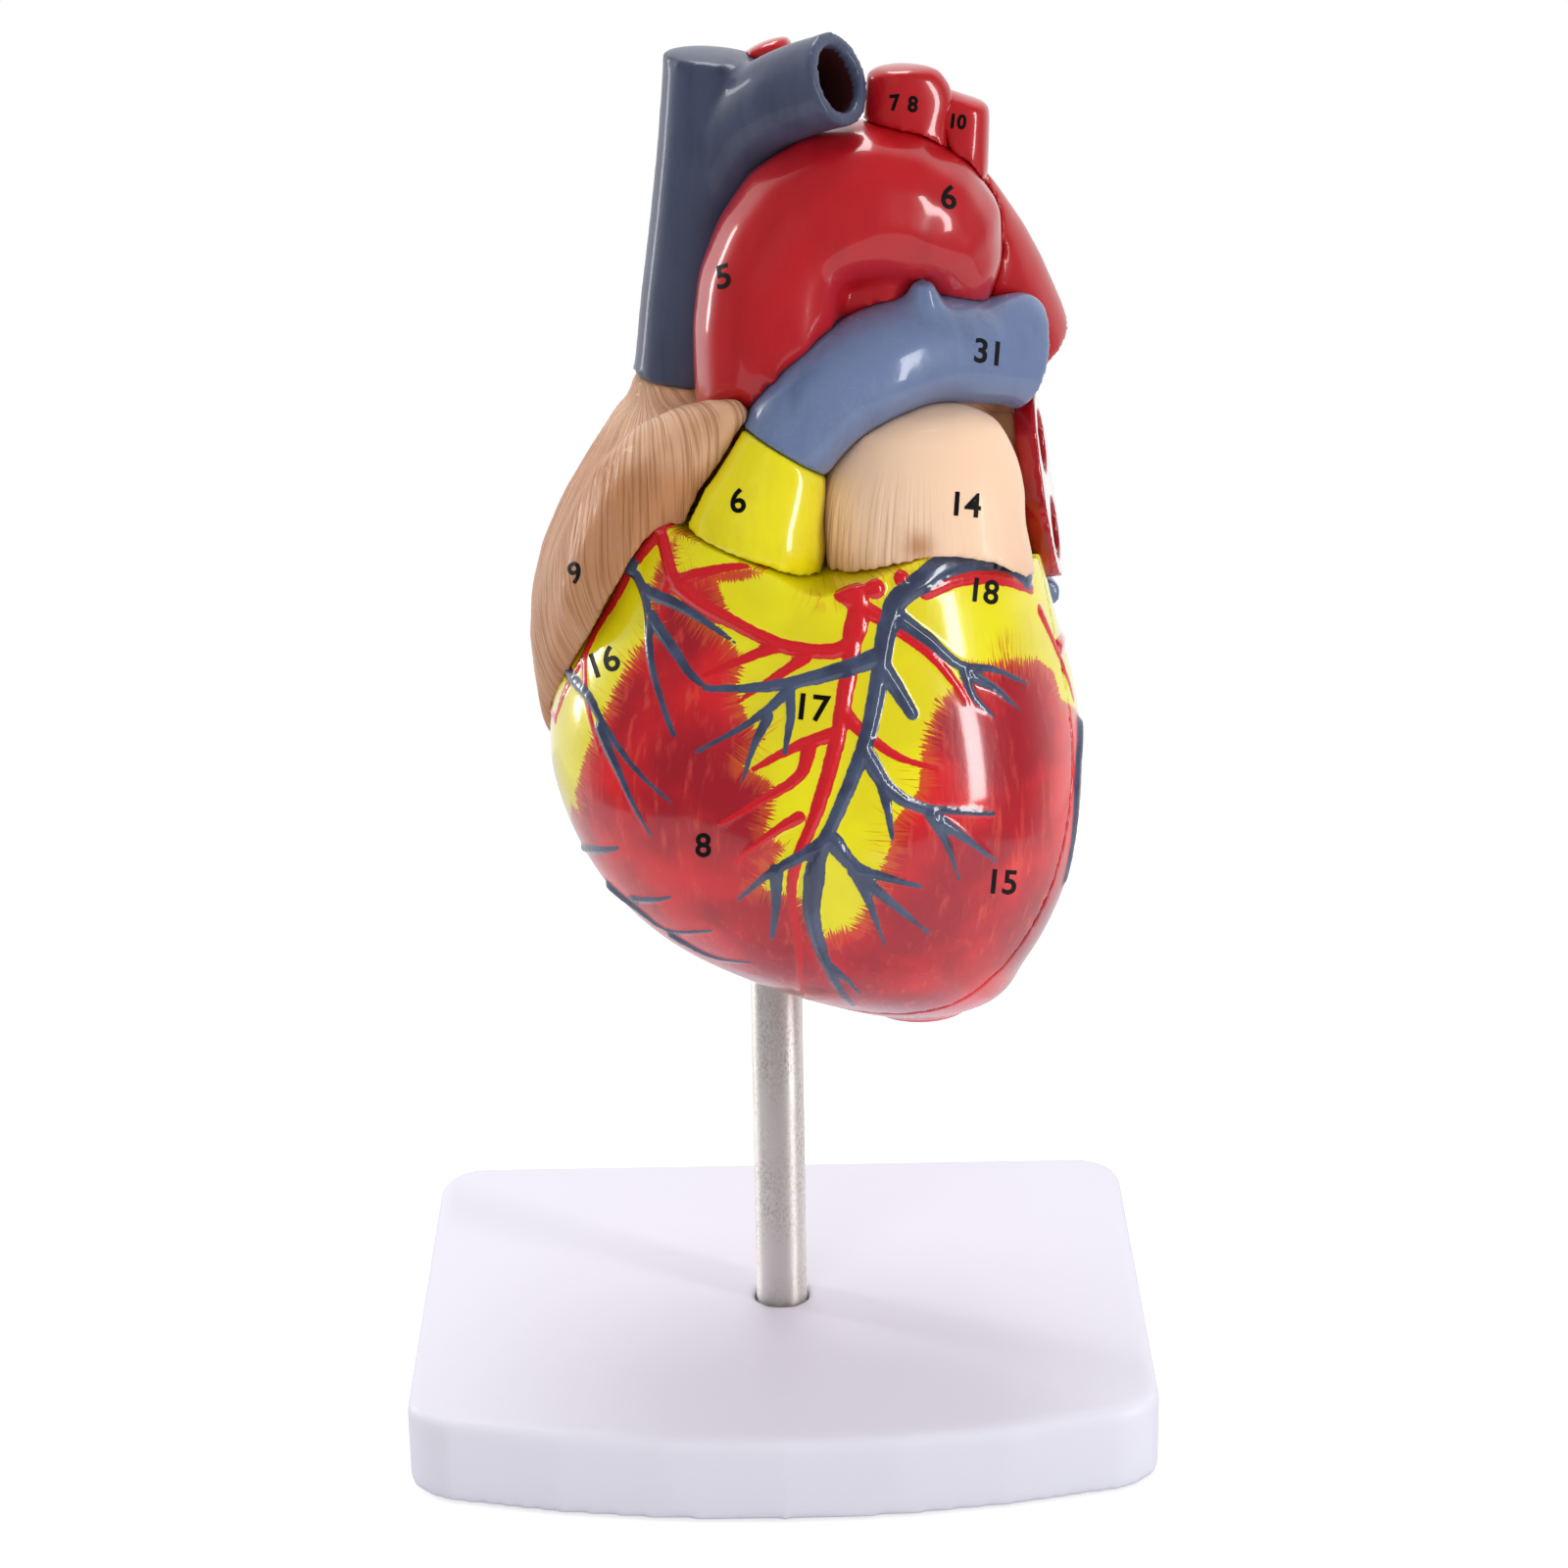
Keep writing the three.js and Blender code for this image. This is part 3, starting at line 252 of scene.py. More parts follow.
def softened(piece, rims, voxel, rounds, last_rounds, swell=0.0):
    """Remeshed and smoothed, first clear of the rims and at last a little all over."""
    remeshed(piece, voxel)
    keep_rims(piece, rims)
    if swell:
        swollen(piece, swell, "soft")
    relaxed(piece, rounds, "soft")
    relaxed(piece, last_rounds)
    piece.vertex_groups.clear()
    smooth_shaded(piece)


def smooth_copy(node, name, voxel, rounds, swell):
    piece = copy_of(node, name)
    softened(piece, rim_points(piece), voxel, rounds, RIM_ROUNDS, swell)
    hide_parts(node)
    return piece


def cast_in_one(nodes, name, voxel, rounds):
    """One soft piece in place of two packed ones that meet, with no rim where they meet."""
    pieces = [copy_of(node, name) for node in nodes]
    trees = [walls_of(piece) for piece in pieces]
    rims = []
    for piece, other in zip(pieces, reversed(trees)):
        for point in rim_points(piece):
            if other.find_nearest(point * MM)[3] > SEAM_REACH * MM:
                rims.append(point)
        swollen(piece, SEAM_SWELL)
    alone(pieces[0])
    pieces[1].select_set(True)
    bpy.ops.object.join()
    softened(pieces[0], rims, voxel, rounds, RIM_ROUNDS)
    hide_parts(*nodes)
    return pieces[0]


BODY_OF = {name: body for body, names in frame["record"]["behaviour"]["bodies"].items() for name in names}
SLOT_OF = {part["node"]: part["material_slot"] for part in frame["record"]["subparts"]}


def placed(piece, node):
    """The piece moves with its node's body."""
    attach(piece, BODY_OF[node])
    return piece


# Size of the squares in mm, rounds of smoothing, and swelling in mm
ORGANS = {
    "right_atrium": (0.6, 60, 0.3),
    "left_atrium": (0.8, 40, 0.25),
    "left_auricle": (0.6, 60, 0.3),
    "inferior_vena_cava": (0.7, 40, 0.35),
    "coronary_sinus": (0.6, 40, 0.35),
    "aortic_arch": (0.7, 60, 0.35),
    "descending_aorta": (0.7, 50, 0.35),
    "brachiocephalic_artery": (0.6, 30, 0.25),
    "left_common_carotid_artery": (0.5, 30, 0.25),
    "left_subclavian_artery": (0.5, 30, 0.25),
    "pulmonary_trunk_root": (0.6, 50, 0.3),
    "pulmonary_artery": (0.6, 50, 0.35),
    "right_pulmonary_artery": (0.6, 40, 0.3),
    "left_pulmonary_veins": (0.5, 30, 0.2),
    "right_upper_pulmonary_vein": (0.6, 30, 0.25),
    "right_lower_pulmonary_vein": (0.6, 30, 0.25),
    "mitral_valve": (0.5, 12, 0.1),
    "tricuspid_valve": (0.5, 12, 0.1),
    "aortic_valve": (0.4, 10, 0.05),
    "pulmonary_valve": (0.4, 10, 0.05),
    "left_front_papillary_muscle": (0.4, 12, 0.1),
    "left_back_papillary_muscle": (0.4, 12, 0.1),
    "right_papillary_muscle": (0.4, 12, 0.1),
}
# Nodes whose smooth piece has a shorter name
SHORT_NAMES = {
    "left_common_carotid_artery": "carotid_artery",
    "left_subclavian_artery": "subclavian_artery",
    "right_upper_pulmonary_vein": "right_upper_vein",
    "right_lower_pulmonary_vein": "right_lower_vein",
    "left_front_papillary_muscle": "left_front_papillary",
    "left_back_papillary_muscle": "left_back_papillary",
    "right_papillary_muscle": "right_papillary",
}
organs = {}
for node, sizes in ORGANS.items():
    organs[node] = placed(smooth_copy(node, SHORT_NAMES.get(node, node) + "_cast", *sizes), node)
UPPER_VEINS = ("superior_vena_cava", "left_brachiocephalic_vein")
upper_veins = cast_in_one(UPPER_VEINS, "upper_veins_cast", voxel=0.6, rounds=90)
organs["left_brachiocephalic_vein"] = placed(upper_veins, "left_brachiocephalic_vein")
print("organs made smooth:", len(organs))

# %% [markdown]
# The two halves of the ventricles share one outer form, a stack of level ovals. After the remesh,
# every point near that form is put exactly on it, which is smoother than any smoothing. The list of
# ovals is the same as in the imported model.

# %% The form of the ventricles
# Each oval: centre x and y, height, half width and half depth, in mm
OVALS = np.array([
    [27.2, -8.4, 85, 9.5, 8.2],
    [25.2, -8.5, 89.5, 18.6, 15.8],
    [19.8, -9, 96, 27.6, 23.4],
    [14.8, -8.7, 104, 37, 29.9],
    [11.7, -7.8, 114, 43.8, 35.4],
    [9.5, -7, 126, 47.8, 39.2],
    [8.2, -6.3, 138, 49.2, 40.3],
    [8, -5.3, 150, 47.7, 39.3],
    [8.5, -4.5, 160, 44.5, 37.5],
    [9.5, -4, 170, 41, 35.5],
    [9, -4, 178, 39, 34],
    [8, -4, 186, 36, 32],
])
# Heights in mm of the low domes that close the stack below and above
APEX_DOME = 1.7
CROWN_DOME = 5.0
FORM_STEPS = 400


def through(values, shares, straight_ends):
    """A smooth curve through a row of values, for shares from 0 to 1 of its length."""
    before = 2 * values[0] - values[1] if straight_ends else values[0]
    after = 2 * values[-1] - values[-2] if straight_ends else values[-1]
    row = np.concatenate([[before], values, [after]])
    at = np.minimum(shares * (len(values) - 1), len(values) - 1 - 1e-6)
    i = np.floor(at).astype(int)
    u = at - i
    a, b, c, d = (row[i + k] for k in range(4))
    return b + 0.5 * u * (c - a + u * (2 * a - 5 * b + 4 * c - d + u * (3 * (b - c) + d - a)))


shares = np.linspace(0, 1, FORM_STEPS)
FORM = np.stack([through(OVALS[:, k], shares, k < 3) for k in range(5)])
FORM_BOTTOM, FORM_TOP = FORM[2, 0], FORM[2, -1]


def form_centres(points):
    """Each point's centre on the form's spine, and how far out it lies: 1 is on the surface."""
    x, y, z = points.T
    level = np.clip(z, FORM_BOTTOM, FORM_TOP)
    centre_x, centre_y, width, depth = (np.interp(level, FORM[2], FORM[k]) for k in (0, 1, 3, 4))
    dome = np.where(z < FORM_BOTTOM, APEX_DOME, CROWN_DOME)
    reach = np.sqrt(((x - centre_x) / width) ** 2 + ((y - centre_y) / depth) ** 2 + ((z - level) / dome) ** 2)
    return np.stack([centre_x, centre_y, level], axis=1), reach


def above_form(points):
    """Rough distance in mm of each point above the ventricles' outer form."""
    centres, reach = form_centres(points)
    length = np.linalg.norm(points - centres, axis=1)
    return length - length / np.maximum(reach, 1e-6)


print("heart's ventricles from", round(FORM_BOTTOM - APEX_DOME, 1), "to", round(FORM_TOP, 1), "mm high")

# %% The two halves of the ventricles
# Points that lie no more than this many mm below or above the form are put on it
SNAP_BELOW = 1.3
SNAP_ABOVE = 2.4
HALF_ROUNDS = 30
HALF_LAST_ROUNDS = 3


def on_form(points):
    centres, reach = form_centres(points)
    high = above_form(points)
    near = (high > -SNAP_BELOW) & (high < SNAP_ABOVE)
    points = points.copy()
    points[near] = centres[near] + (points[near] - centres[near]) / reach[near, None]
    return points


def ventricle_half(node, name, voxel):
    piece = copy_of(node, name)
    softened(piece, rim_points(piece), voxel, HALF_ROUNDS, HALF_LAST_ROUNDS)
    move_points(piece, on_form(coordinates(piece)))
    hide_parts(node)
    return placed(piece, node)


front = ventricle_half("front_wall", "front_wall_cast", 0.6)
back = ventricle_half("ventricle_back_half", "back_half_cast", 0.7)
print("faces of the front wall:", len(front.data.polygons), "and of the back half:", len(back.data.polygons))

# %% [markdown]
# The coronary vessels and the fat were painted by eye on the cast. Their courses are read off the
# photograph as points of its image, and each point is followed along its line of sight to the form.
# A point just beside the outline takes the place where its line passes nearest.

# %% Marks on the form
# Distances in mm from the camera at which a line of sight is tried
SIGHT_REACH = np.linspace(560, 760, 1200)
# The upright line that the flat chart of the surface is unrolled from, and its radius, in mm
PAINT_CENTRE = (9.0, -6.0)
PAINT_RADIUS = 45.0
CURVE_STEPS = 4


def touch(marks):
    """Where the lines of sight through some points of the photograph meet the form, in mm."""
    found = []
    start = np.array(CAMERA_PLACE) / MM
    for column, row in marks:
        line = start + SIGHT_REACH[:, None] * np.array(sight_line(column, row))
        reach = form_centres(line)[1]
        first = int(np.argmax(reach < 1)) if (reach < 1).any() else int(np.argmin(reach))
        found.append(line[first])
    return np.array(found)


def unrolled(points):
    """Angle round the heart from its front, and height: a flat chart of the surface."""
    x, y, z = points.T
    angle = np.degrees(np.arctan2(x - PAINT_CENTRE[0], -(y - PAINT_CENTRE[1])))
    return np.stack([angle, z], axis=1)


def flowing(points):
    """A smooth curve through the points."""
    shares = np.linspace(0, 1, CURVE_STEPS * (len(points) - 1) + 1)
    return np.stack([through(column, shares, straight_ends=True) for column in points.T], axis=1)


print("a mark at the middle of the heart lies at", touch([(850, 760)]).round(1))

# %% Courses of the veins
# Half widths in mm at the start and the end, then points of the photograph
VEIN_COURSES = [
    (2.6, 2.0, [(1046, 587), (1027, 571), (995, 569), (963, 577), (941, 592), (922, 606), (912, 617)]),
    (2.0, 1.2, [(912, 617), (904, 646), (897, 692), (887, 744), (871, 790), (845, 850)]),
    (1.3, 1.9, [(845, 850), (835, 872), (831, 895)]),
    (1.9, 0.6, [(831, 895), (828, 928), (835, 961), (848, 993), (871, 1026)]),
    (1.8, 0.5, [(897, 670), (853, 685), (811, 696), (765, 702), (719, 702)]),
    (1.1, 0.3, [(811, 696), (788, 720), (757, 742), (711, 767)]),
    (1.1, 0.5, [(805, 698), (807, 731), (801, 767)]),
    (1.0, 0.2, [(784, 731), (769, 762), (757, 800)]),
    (1.5, 0.3, [(918, 631), (949, 654), (979, 679), (1014, 683), (1048, 698)]),
    (1.2, 0.2, [(991, 689), (1017, 704), (1040, 725)]),
    (1.1, 0.3, [(983, 685), (994, 712), (1014, 731)]),
    (1.7, 1.1, [(903, 685), (918, 708), (931, 729)]),
    (1.6, 0.4, [(884, 769), (906, 804), (937, 823), (972, 827), (1014, 830)]),
    (1.3, 0.2, [(949, 830), (964, 857), (979, 899)]),
    (1.2, 0.2, [(960, 838), (987, 857), (1017, 880)]),
    (1.2, 0.3, [(899, 796), (906, 827), (910, 857)]),
    (1.6, 0.3, [(845, 857), (818, 873), (784, 892), (753, 918)]),
    (1.3, 0.4, [(792, 888), (792, 922), (788, 957)]),
    (1.7, 0.4, [(849, 857), (872, 884), (903, 895), (941, 905)]),
    (1.4, 0.3, [(872, 888), (906, 918), (949, 953)]),
    (1.2, 0.2, [(876, 895), (889, 926), (903, 966)]),
    (1.0, 0.2, [(841, 980), (864, 999), (878, 1014)]),
    (1.3, 0.5, [(646, 577), (656, 600), (662, 625), (663, 655), (667, 686), (677, 719), (688, 750)]),
    (1.4, 0.3, [(658, 602), (692, 617), (723, 636), (750, 655)]),
    (1.4, 0.4, [(665, 629), (688, 663), (707, 690), (727, 705)]),
    (1.4, 0.3, [(575, 662), (596, 704), (616, 739), (646, 781), (686, 819)]),
    (1.2, 0.3, [(612, 742), (631, 785), (646, 819), (665, 853)]),
    (1.2, 0.4, [(596, 865), (613, 867), (631, 865)]),
    (1.0, 0.3, [(646, 917), (666, 918), (685, 915)]),
    (1.6, 0.3, [(623, 903), (650, 926), (681, 949), (727, 949)]),
    (1.3, 0.3, [(685, 953), (727, 976), (765, 982)]),
    (1.8, 1.0, [(1100, 738), (1098, 790), (1095, 847), (1085, 900)]),
]
ARTERY_COURSES = [
    (1.6, 1.1, [(677, 536), (652, 567), (636, 594), (614, 633), (597, 669)]),
    (1.1, 0.8, [(597, 669), (578, 703), (567, 735)]),
    (0.9, 0.5, [(597, 674), (601, 724), (612, 765)]),
    (1.5, 1.4, [(674, 541), (681, 567), (685, 585), (692, 596)]),
    (1.9, 1.2, [(692, 596), (713, 615), (757, 639)]),
    (0.8, 0.5, [(682, 590), (676, 612), (674, 640)]),
    (1.2, 1.6, [(750, 636), (788, 655), (818, 663), (857, 663), (876, 644), (876, 617)]),
    (2.2, 1.6, [(862, 603), (876, 612), (870, 643)]),
    (1.4, 0.5, [(692, 594), (712, 586), (735, 580), (773, 575)]),
    (1.7, 1.3, [(870, 640), (868, 674), (862, 708), (855, 750), (845, 790), (833, 830)]),
    (1.2, 0.6, [(833, 830), (812, 882), (808, 915), (815, 967), (825, 1020)]),
    (1.4, 0.5, [(849, 750), (811, 762), (769, 785)]),
    (1.4, 0.4, [(826, 762), (815, 792), (773, 819), (734, 842)]),
    (1.2, 0.4, [(815, 834), (788, 850), (750, 880)]),
    (1.3, 0.4, [(795, 658), (765, 670), (719, 689)]),
    (1.2, 0.3, [(822, 670), (788, 693), (753, 716)]),
    (1.4, 0.4, [(864, 731), (884, 750), (918, 773), (960, 785)]),
    (1.5, 0.6, [(876, 617), (914, 640), (949, 667), (975, 698), (987, 716)]),
    (1.7, 1.2, [(945, 602), (979, 590), (1017, 589), (1052, 600)]),
    (1.2, 0.8, [(1061, 623), (1076, 658), (1095, 713)]),
]


def course_on_form(start_width, end_width, marks):
    """The course as points on the form with the half width at each."""
    line = flowing(touch(marks))
    centres, reach = form_centres(line)
    line = centres + (line - centres) / reach[:, None]
    return line, np.linspace(start_width, end_width, len(line))


veins = [course_on_form(*course) for course in VEIN_COURSES]
arteries = [course_on_form(*course) for course in ARTERY_COURSES]
print("courses laid:", len(veins), "veins and", len(arteries), "arteries")

# %% Distances to the courses
# Further than this many mm from a course its distance isn't needed
COURSE_REACH = 8.0


def edge_distance(points, courses):
    """Distance in mm from each point to the nearest painted edge, below 0 inside the stroke."""
    best = np.full(len(points), COURSE_REACH)
    for line, widths in courses:
        low, high = line.min(axis=0) - COURSE_REACH, line.max(axis=0) + COURSE_REACH
        near = np.flatnonzero(((points > low) & (points < high)).all(axis=1))
        local = points[near]
        for start, end, first, last in zip(line[:-1], line[1:], widths[:-1], widths[1:]):
            along = end - start
            share = np.clip((local - start) @ along / max(along @ along, 1e-9), 0, 1)
            gap = np.linalg.norm(local - start - share[:, None] * along, axis=1)
            best[near] = np.minimum(best[near], gap - (first + (last - first) * share))
    return best


front_points = coordinates(front)
print("points within a vein on the front wall:", int((edge_distance(front_points, veins) < 0).sum()))

# %% Marks behind, on the chart
# Half widths in mm, then angle round the heart from its front in degrees, and height in mm
BACK_VEINS = [
    (1.8, 0.6, [(176, 157), (178, 146), (181, 132), (184, 118), (186, 106)]),
    (1.1, 0.3, [(178, 146), (170, 138), (162, 126)]),
    (1.1, 0.3, [(181, 132), (190, 124), (199, 112)]),
    (1.5, 0.4, [(118, 158), (122, 146), (120, 133), (124, 118)]),
    (1.0, 0.3, [(122, 146), (131, 136), (136, 124)]),
    (1.3, 0.4, [(236, 152), (232, 142), (233, 130), (229, 118)]),
]
BACK_ARTERIES = [
    (0.8, 1.4, [(279, 146), (262, 145), (240, 150), (215, 153), (192, 153)]),
    (1.5, 0.5, [(192, 153), (190, 142), (191, 128), (193, 112)]),
    (1.0, 0.3, [(191, 128), (184, 120), (178, 110)]),
    (1.2, 0.4, [(262, 146), (258, 134), (260, 122)]),
    (1.6, 1.1, [(82, 158), (104, 155), (128, 154), (146, 153)]),
    (1.1, 0.4, [(104, 155), (107, 141), (104, 126)]),
]
# Distances in mm from the chart's line at which the surface is looked for
CHART_RADII = np.linspace(5, 60, 400)


def from_chart(marks):
    """Points of the form in mm, from their angle round the heart and their height."""
    found = []
    for angle, height in marks:
        turn = math.radians(angle)
        away = CHART_RADII[:, None] * np.array([math.sin(turn), -math.cos(turn), 0])
        ray = away + np.array([PAINT_CENTRE[0], PAINT_CENTRE[1], height])
        reach = form_centres(ray)[1]
        found.append(ray[int(np.argmax(reach >= 1))])
    return np.array(found)


def course_behind(start_width, end_width, marks):
    line = flowing(from_chart(marks))
    return line, np.linspace(start_width, end_width, len(line))


veins += [course_behind(*course) for course in BACK_VEINS]
arteries += [course_behind(*course) for course in BACK_ARTERIES]
print("courses with those behind:", len(veins), "veins and", len(arteries), "arteries")

# %% Outlines of the fat
# Points of the photograph, and behind the heart points of the chart
FAT_LEFT = [
    (690, 515), (560, 640), (540, 760), (545, 835), (583, 836), (590, 800), (597, 772), (606, 748),
    (619, 723), (627, 703), (636, 686), (646, 668), (656, 655), (664, 640), (662, 610), (668, 585),
    (690, 545),
]
FAT_MIDDLE = [
    (690, 545), (760, 560), (840, 600), (900, 585), (940, 560), (1060, 560), (1110, 640), (1110, 730),
    (1082, 713), (1075, 685), (1058, 672), (1030, 672), (1006, 677), (985, 675), (982, 692), (968, 706),
    (958, 716), (947, 740), (941, 761), (939, 782), (937, 806), (923, 823), (911, 840), (908, 864),
    (899, 885), (892, 902), (882, 926), (868, 947), (841, 952), (816, 916), (778, 906), (788, 885),
    (802, 864), (781, 851), (788, 830), (790, 800), (760, 782), (778, 754), (760, 727), (753, 699),
    (760, 672), (743, 651), (719, 634), (692, 610), (688, 589),
]
MUSCLE_PATCH = [
    (692, 589), (719, 582), (767, 580), (778, 584), (760, 592), (733, 594), (743, 623), (733, 637),
    (747, 665), (719, 634), (692, 610),
]
FAT_BEHIND = [
    (70, 200), (70, 160), (84, 155), (100, 152), (120, 157), (150, 150), (166, 143), (174, 122), (180, 112),
    (188, 124), (196, 146), (230, 154), (258, 146), (270, 134), (292, 132), (292, 200),
]


def outline_distance(chart, radii, corners):
    """Distance in mm to an outline, below 0 inside it, and how far along it the nearest point lies."""
    best = np.full(len(chart), 1e3)
    best_along = np.zeros(len(chart))
    inside = np.zeros(len(chart), dtype=bool)
    travelled = 0.0
    to_mm = np.radians(1) * radii
    for (angle, height), (next_angle, next_height) in zip(corners, np.roll(corners, -1, axis=0)):
        ax, ay = (angle - chart[:, 0]) * to_mm, height - chart[:, 1]
        bx, by = (next_angle - chart[:, 0]) * to_mm, next_height - chart[:, 1]
        ex, ey = bx - ax, by - ay
        share = np.clip(-(ax * ex + ay * ey) / np.maximum(ex * ex + ey * ey, 1e-9), 0, 1)
        gap = np.hypot(ax + share * ex, ay + share * ey)
        length = math.hypot((next_angle - angle) * math.radians(1) * PAINT_RADIUS, next_height - height)
        nearer = gap < best
        best = np.where(nearer, gap, best)
        best_along = np.where(nearer, travelled + share * length, best_along)
        crosses = (ay > 0) != (by > 0)
        inside ^= crosses & (ax - ay * ex / np.where(crosses, ey, 1) > 0)
        travelled += length
    return np.where(inside, -best, best), best_along


def fat_marks(points):
    """Distance to the fat's border, below 0 on the fat, and the place along the border."""
    chart = unrolled(points)
    radii = np.hypot(points[:, 0] - PAINT_CENTRE[0], points[:, 1] - PAINT_CENTRE[1])
    behind = chart.copy()
    behind[:, 0] %= 360
    outlines = [
        outline_distance(chart, radii, unrolled(touch(FAT_LEFT))),
        outline_distance(chart, radii, unrolled(touch(FAT_MIDDLE))),
        outline_distance(behind, radii, np.array(FAT_BEHIND, dtype=float)),
    ]
    distance, along = outlines[0]
    for other, other_along in outlines[1:]:
        along = np.where(other < distance, other_along, along)
        distance = np.minimum(distance, other)
    patch, patch_along = outline_distance(chart, radii, unrolled(touch(MUSCLE_PATCH)))
    along = np.where(-patch > distance, patch_along, along)
    return np.maximum(distance, -patch), along


print("points of the outlines:", len(FAT_LEFT) + len(FAT_MIDDLE) + len(MUSCLE_PATCH) + len(FAT_BEHIND))

# %% [markdown]
# The vessels aren't only painted: they stand out from the cast and catch the light along their
# backs. Their points are raised here by how deep they lie inside the painted stroke. Where a vessel
# dives under the atria it ends in a round knob.

# %% Raised vessels
VEIN_RISE = 1.0
ARTERY_RISE = 0.75
# Depth in mm inside the stroke at which a vessel starts to rise, and at which it is full
RISE_START = -0.2
RISE_FULL = 1.7
VESSEL_ROUNDS = 2
# Only points this near under the form are skin. The level face on top counts as skin too: it faces
# up by more than this share and lies above this height
SKIN_DEPTH = 0.4
TOP_FACING = 0.55
TOP_FACE_BOTTOM = 155
KNOB_LENGTH = 0.01
# Point of the photograph, radius and height in mm, and whether it is an artery's
KNOBS = [
    ((677, 531), 2.6, 1.8, True),
    ((646, 577), 2.1, 1.8, False),
    ((893, 601), 1.8, 1.0, True),
    ((919, 590), 1.5, 1.3, True),
    ((870, 606), 2.6, 0.9, True),
]
knob_places = touch([mark for mark, *_ in KNOBS])
for place, (_, radius, _, is_artery) in zip(knob_places, KNOBS):
    knob = np.array([place, place + KNOB_LENGTH]), np.array([radius, radius])
    (arteries if is_artery else veins).append(knob)


def rounded(depth):
    """Share of the full rise. Thin strokes stay low and only broad vessels stand out."""
    return faded(depth, RISE_START, RISE_FULL)


def dressed(piece):
    """Raises the vessels on a half of the ventricles and stores what its paint needs."""
    points = coordinates(piece)
    top = (normals(piece)[:, 2] > TOP_FACING) & (points[:, 2] > TOP_FACE_BOTTOM)
    skin = np.where(top, 0, above_form(points))
    vein = edge_distance(points, veins)
    artery = edge_distance(points, arteries)
    rise = np.maximum(VEIN_RISE * rounded(-vein), ARTERY_RISE * rounded(-artery))
    for place, (_, radius, height, _) in zip(knob_places, KNOBS):
        gap = np.linalg.norm(points - place, axis=1) / radius
        rise = np.maximum(rise, height * np.sqrt(np.clip(1 - gap * gap, 0, 1)))
    rise *= skin > -SKIN_DEPTH
    fat, along = fat_marks(points)
    move_points(piece, points + normals(piece) * rise[:, None])
    relaxed(piece, VESSEL_ROUNDS)
    for name, values in {"vein": vein, "artery": artery, "skin": skin, "fat": fat, "along": along}.items():
        store(piece, name, values)
    return float(rise.max())


print("highest rise, mm:", dressed(front), dressed(back))

# %% [markdown]
# The finishes come next. All the painted ones share one effect, a varnish that is a little uneven,
# so that is a node group. It puts out a roughness and a height. A short helper per kind of node
# keeps the finishes readable.

# %% Helpers for finishes
# Sockets of the node that mixes colours, which share their names with those for other kinds of value
MIX_SHARE, MIX_FIRST, MIX_SECOND, MIX_COLOUR = 0, 6, 7, 2
EDGE_BLUR = 0.1


def paint(red, green, blue):
    """A colour as it is seen, from 0 to 255, in the linear values that Blender mixes."""
    parts = [value / 255 for value in (red, green, blue)]
    linear = [part / 12.92 if part < 0.04045 else ((part + 0.055) / 1.055) ** 2.4 for part in parts]
    return (*linear, 1.0)


def new_finish(name):
    material = bpy.data.materials.new(name)
    material.use_nodes = True
    return material, material.node_tree, material.node_tree.nodes["Principled BSDF"]


def put(tree, kind, **settings):
    made = tree.nodes.new("ShaderNode" + kind)
    for key, value in settings.items():
        setattr(made, key, value)
    return made


def is_output(value):
    return isinstance(value, bpy.types.NodeSocket)


def put_after(values, kind, **settings):
    """A new node in the tree of the first output among the values."""
    return put(next(value.id_data for value in values if is_output(value)), kind, **settings)


def feed(socket, value):
    """Another node's output, a number or a colour into a socket."""
    if is_output(value):
        socket.id_data.links.new(value, socket)
    else:
        socket.default_value = value


def set_inputs(node, **values):
    """Feeds some of the node's inputs. A name with spaces is written with _ instead."""
    for label, value in values.items():
        feed(node.inputs[label.replace("_", " ")], value)


def feed_in_order(node, values):
    for socket, value in zip(node.inputs, values):
        feed(socket, value)
    return node.outputs[0]


def sums(operation, *values):
    return feed_in_order(put_after(values, "Math", operation=operation), values)


def mixed(share, first, second):
    """The first colour where the share is 0 and the second where it is 1."""
    made = put_after([share, first, second], "Mix", data_type="RGBA")
    for number, value in ((MIX_SHARE, share), (MIX_FIRST, first), (MIX_SECOND, second)):
        feed(made.inputs[number], value)
    return made.outputs[MIX_COLOUR]


def between(value, low, high, out_low=0.0, out_high=1.0):
    """A smooth rise from one output to the other as the value goes from low to high."""
    made = put_after([value], "MapRange", interpolation_type="SMOOTHSTEP")
    return feed_in_order(made, (value, low, high, out_low, out_high))


def inside(distance):
    """1 where the distance to an edge is below 0, and 0 where it is above, with a narrow blur."""
    return between(distance, EDGE_BLUR, -EDGE_BLUR)


def marked(tree, name):
    return put(tree, "Attribute", attribute_name=name).outputs["Fac"]


def place_in_metres(tree):
    return put(tree, "TexCoord").outputs["Object"]


def object_place(tree, stretch=(1, 1, 1), turn=(0, 0, 0)):
    made = put(tree, "Mapping")
    set_inputs(made, Vector=place_in_metres(tree), Scale=stretch, Rotation=turn)
    return made.outputs["Vector"]


def height_of(tree):
    """Height of the shaded point in metres."""
    split = put(tree, "SeparateXYZ")
    set_inputs(split, Vector=place_in_metres(tree))
    return split.outputs["Z"]


def joined(x, y):
    return feed_in_order(put_after([x], "CombineXYZ"), (x, y))


def cloud(place, scale, detail=2.0, rough=0.5, warp=0.0):
    made = put_after([place], "TexNoise")
    set_inputs(made, Vector=place, Scale=scale, Detail=detail, Roughness=rough, Distortion=warp)
    return made.outputs[0]


def bumped(surface, height, strength, distance):
    made = put_after([height], "Bump")
    set_inputs(made, Strength=strength, Distance=distance, Height=height)
    set_inputs(surface, Normal=made.outputs[0])


print("a red of 186, 18, 28 is, as Blender mixes it,", [round(part, 3) for part in paint(186, 18, 28)])

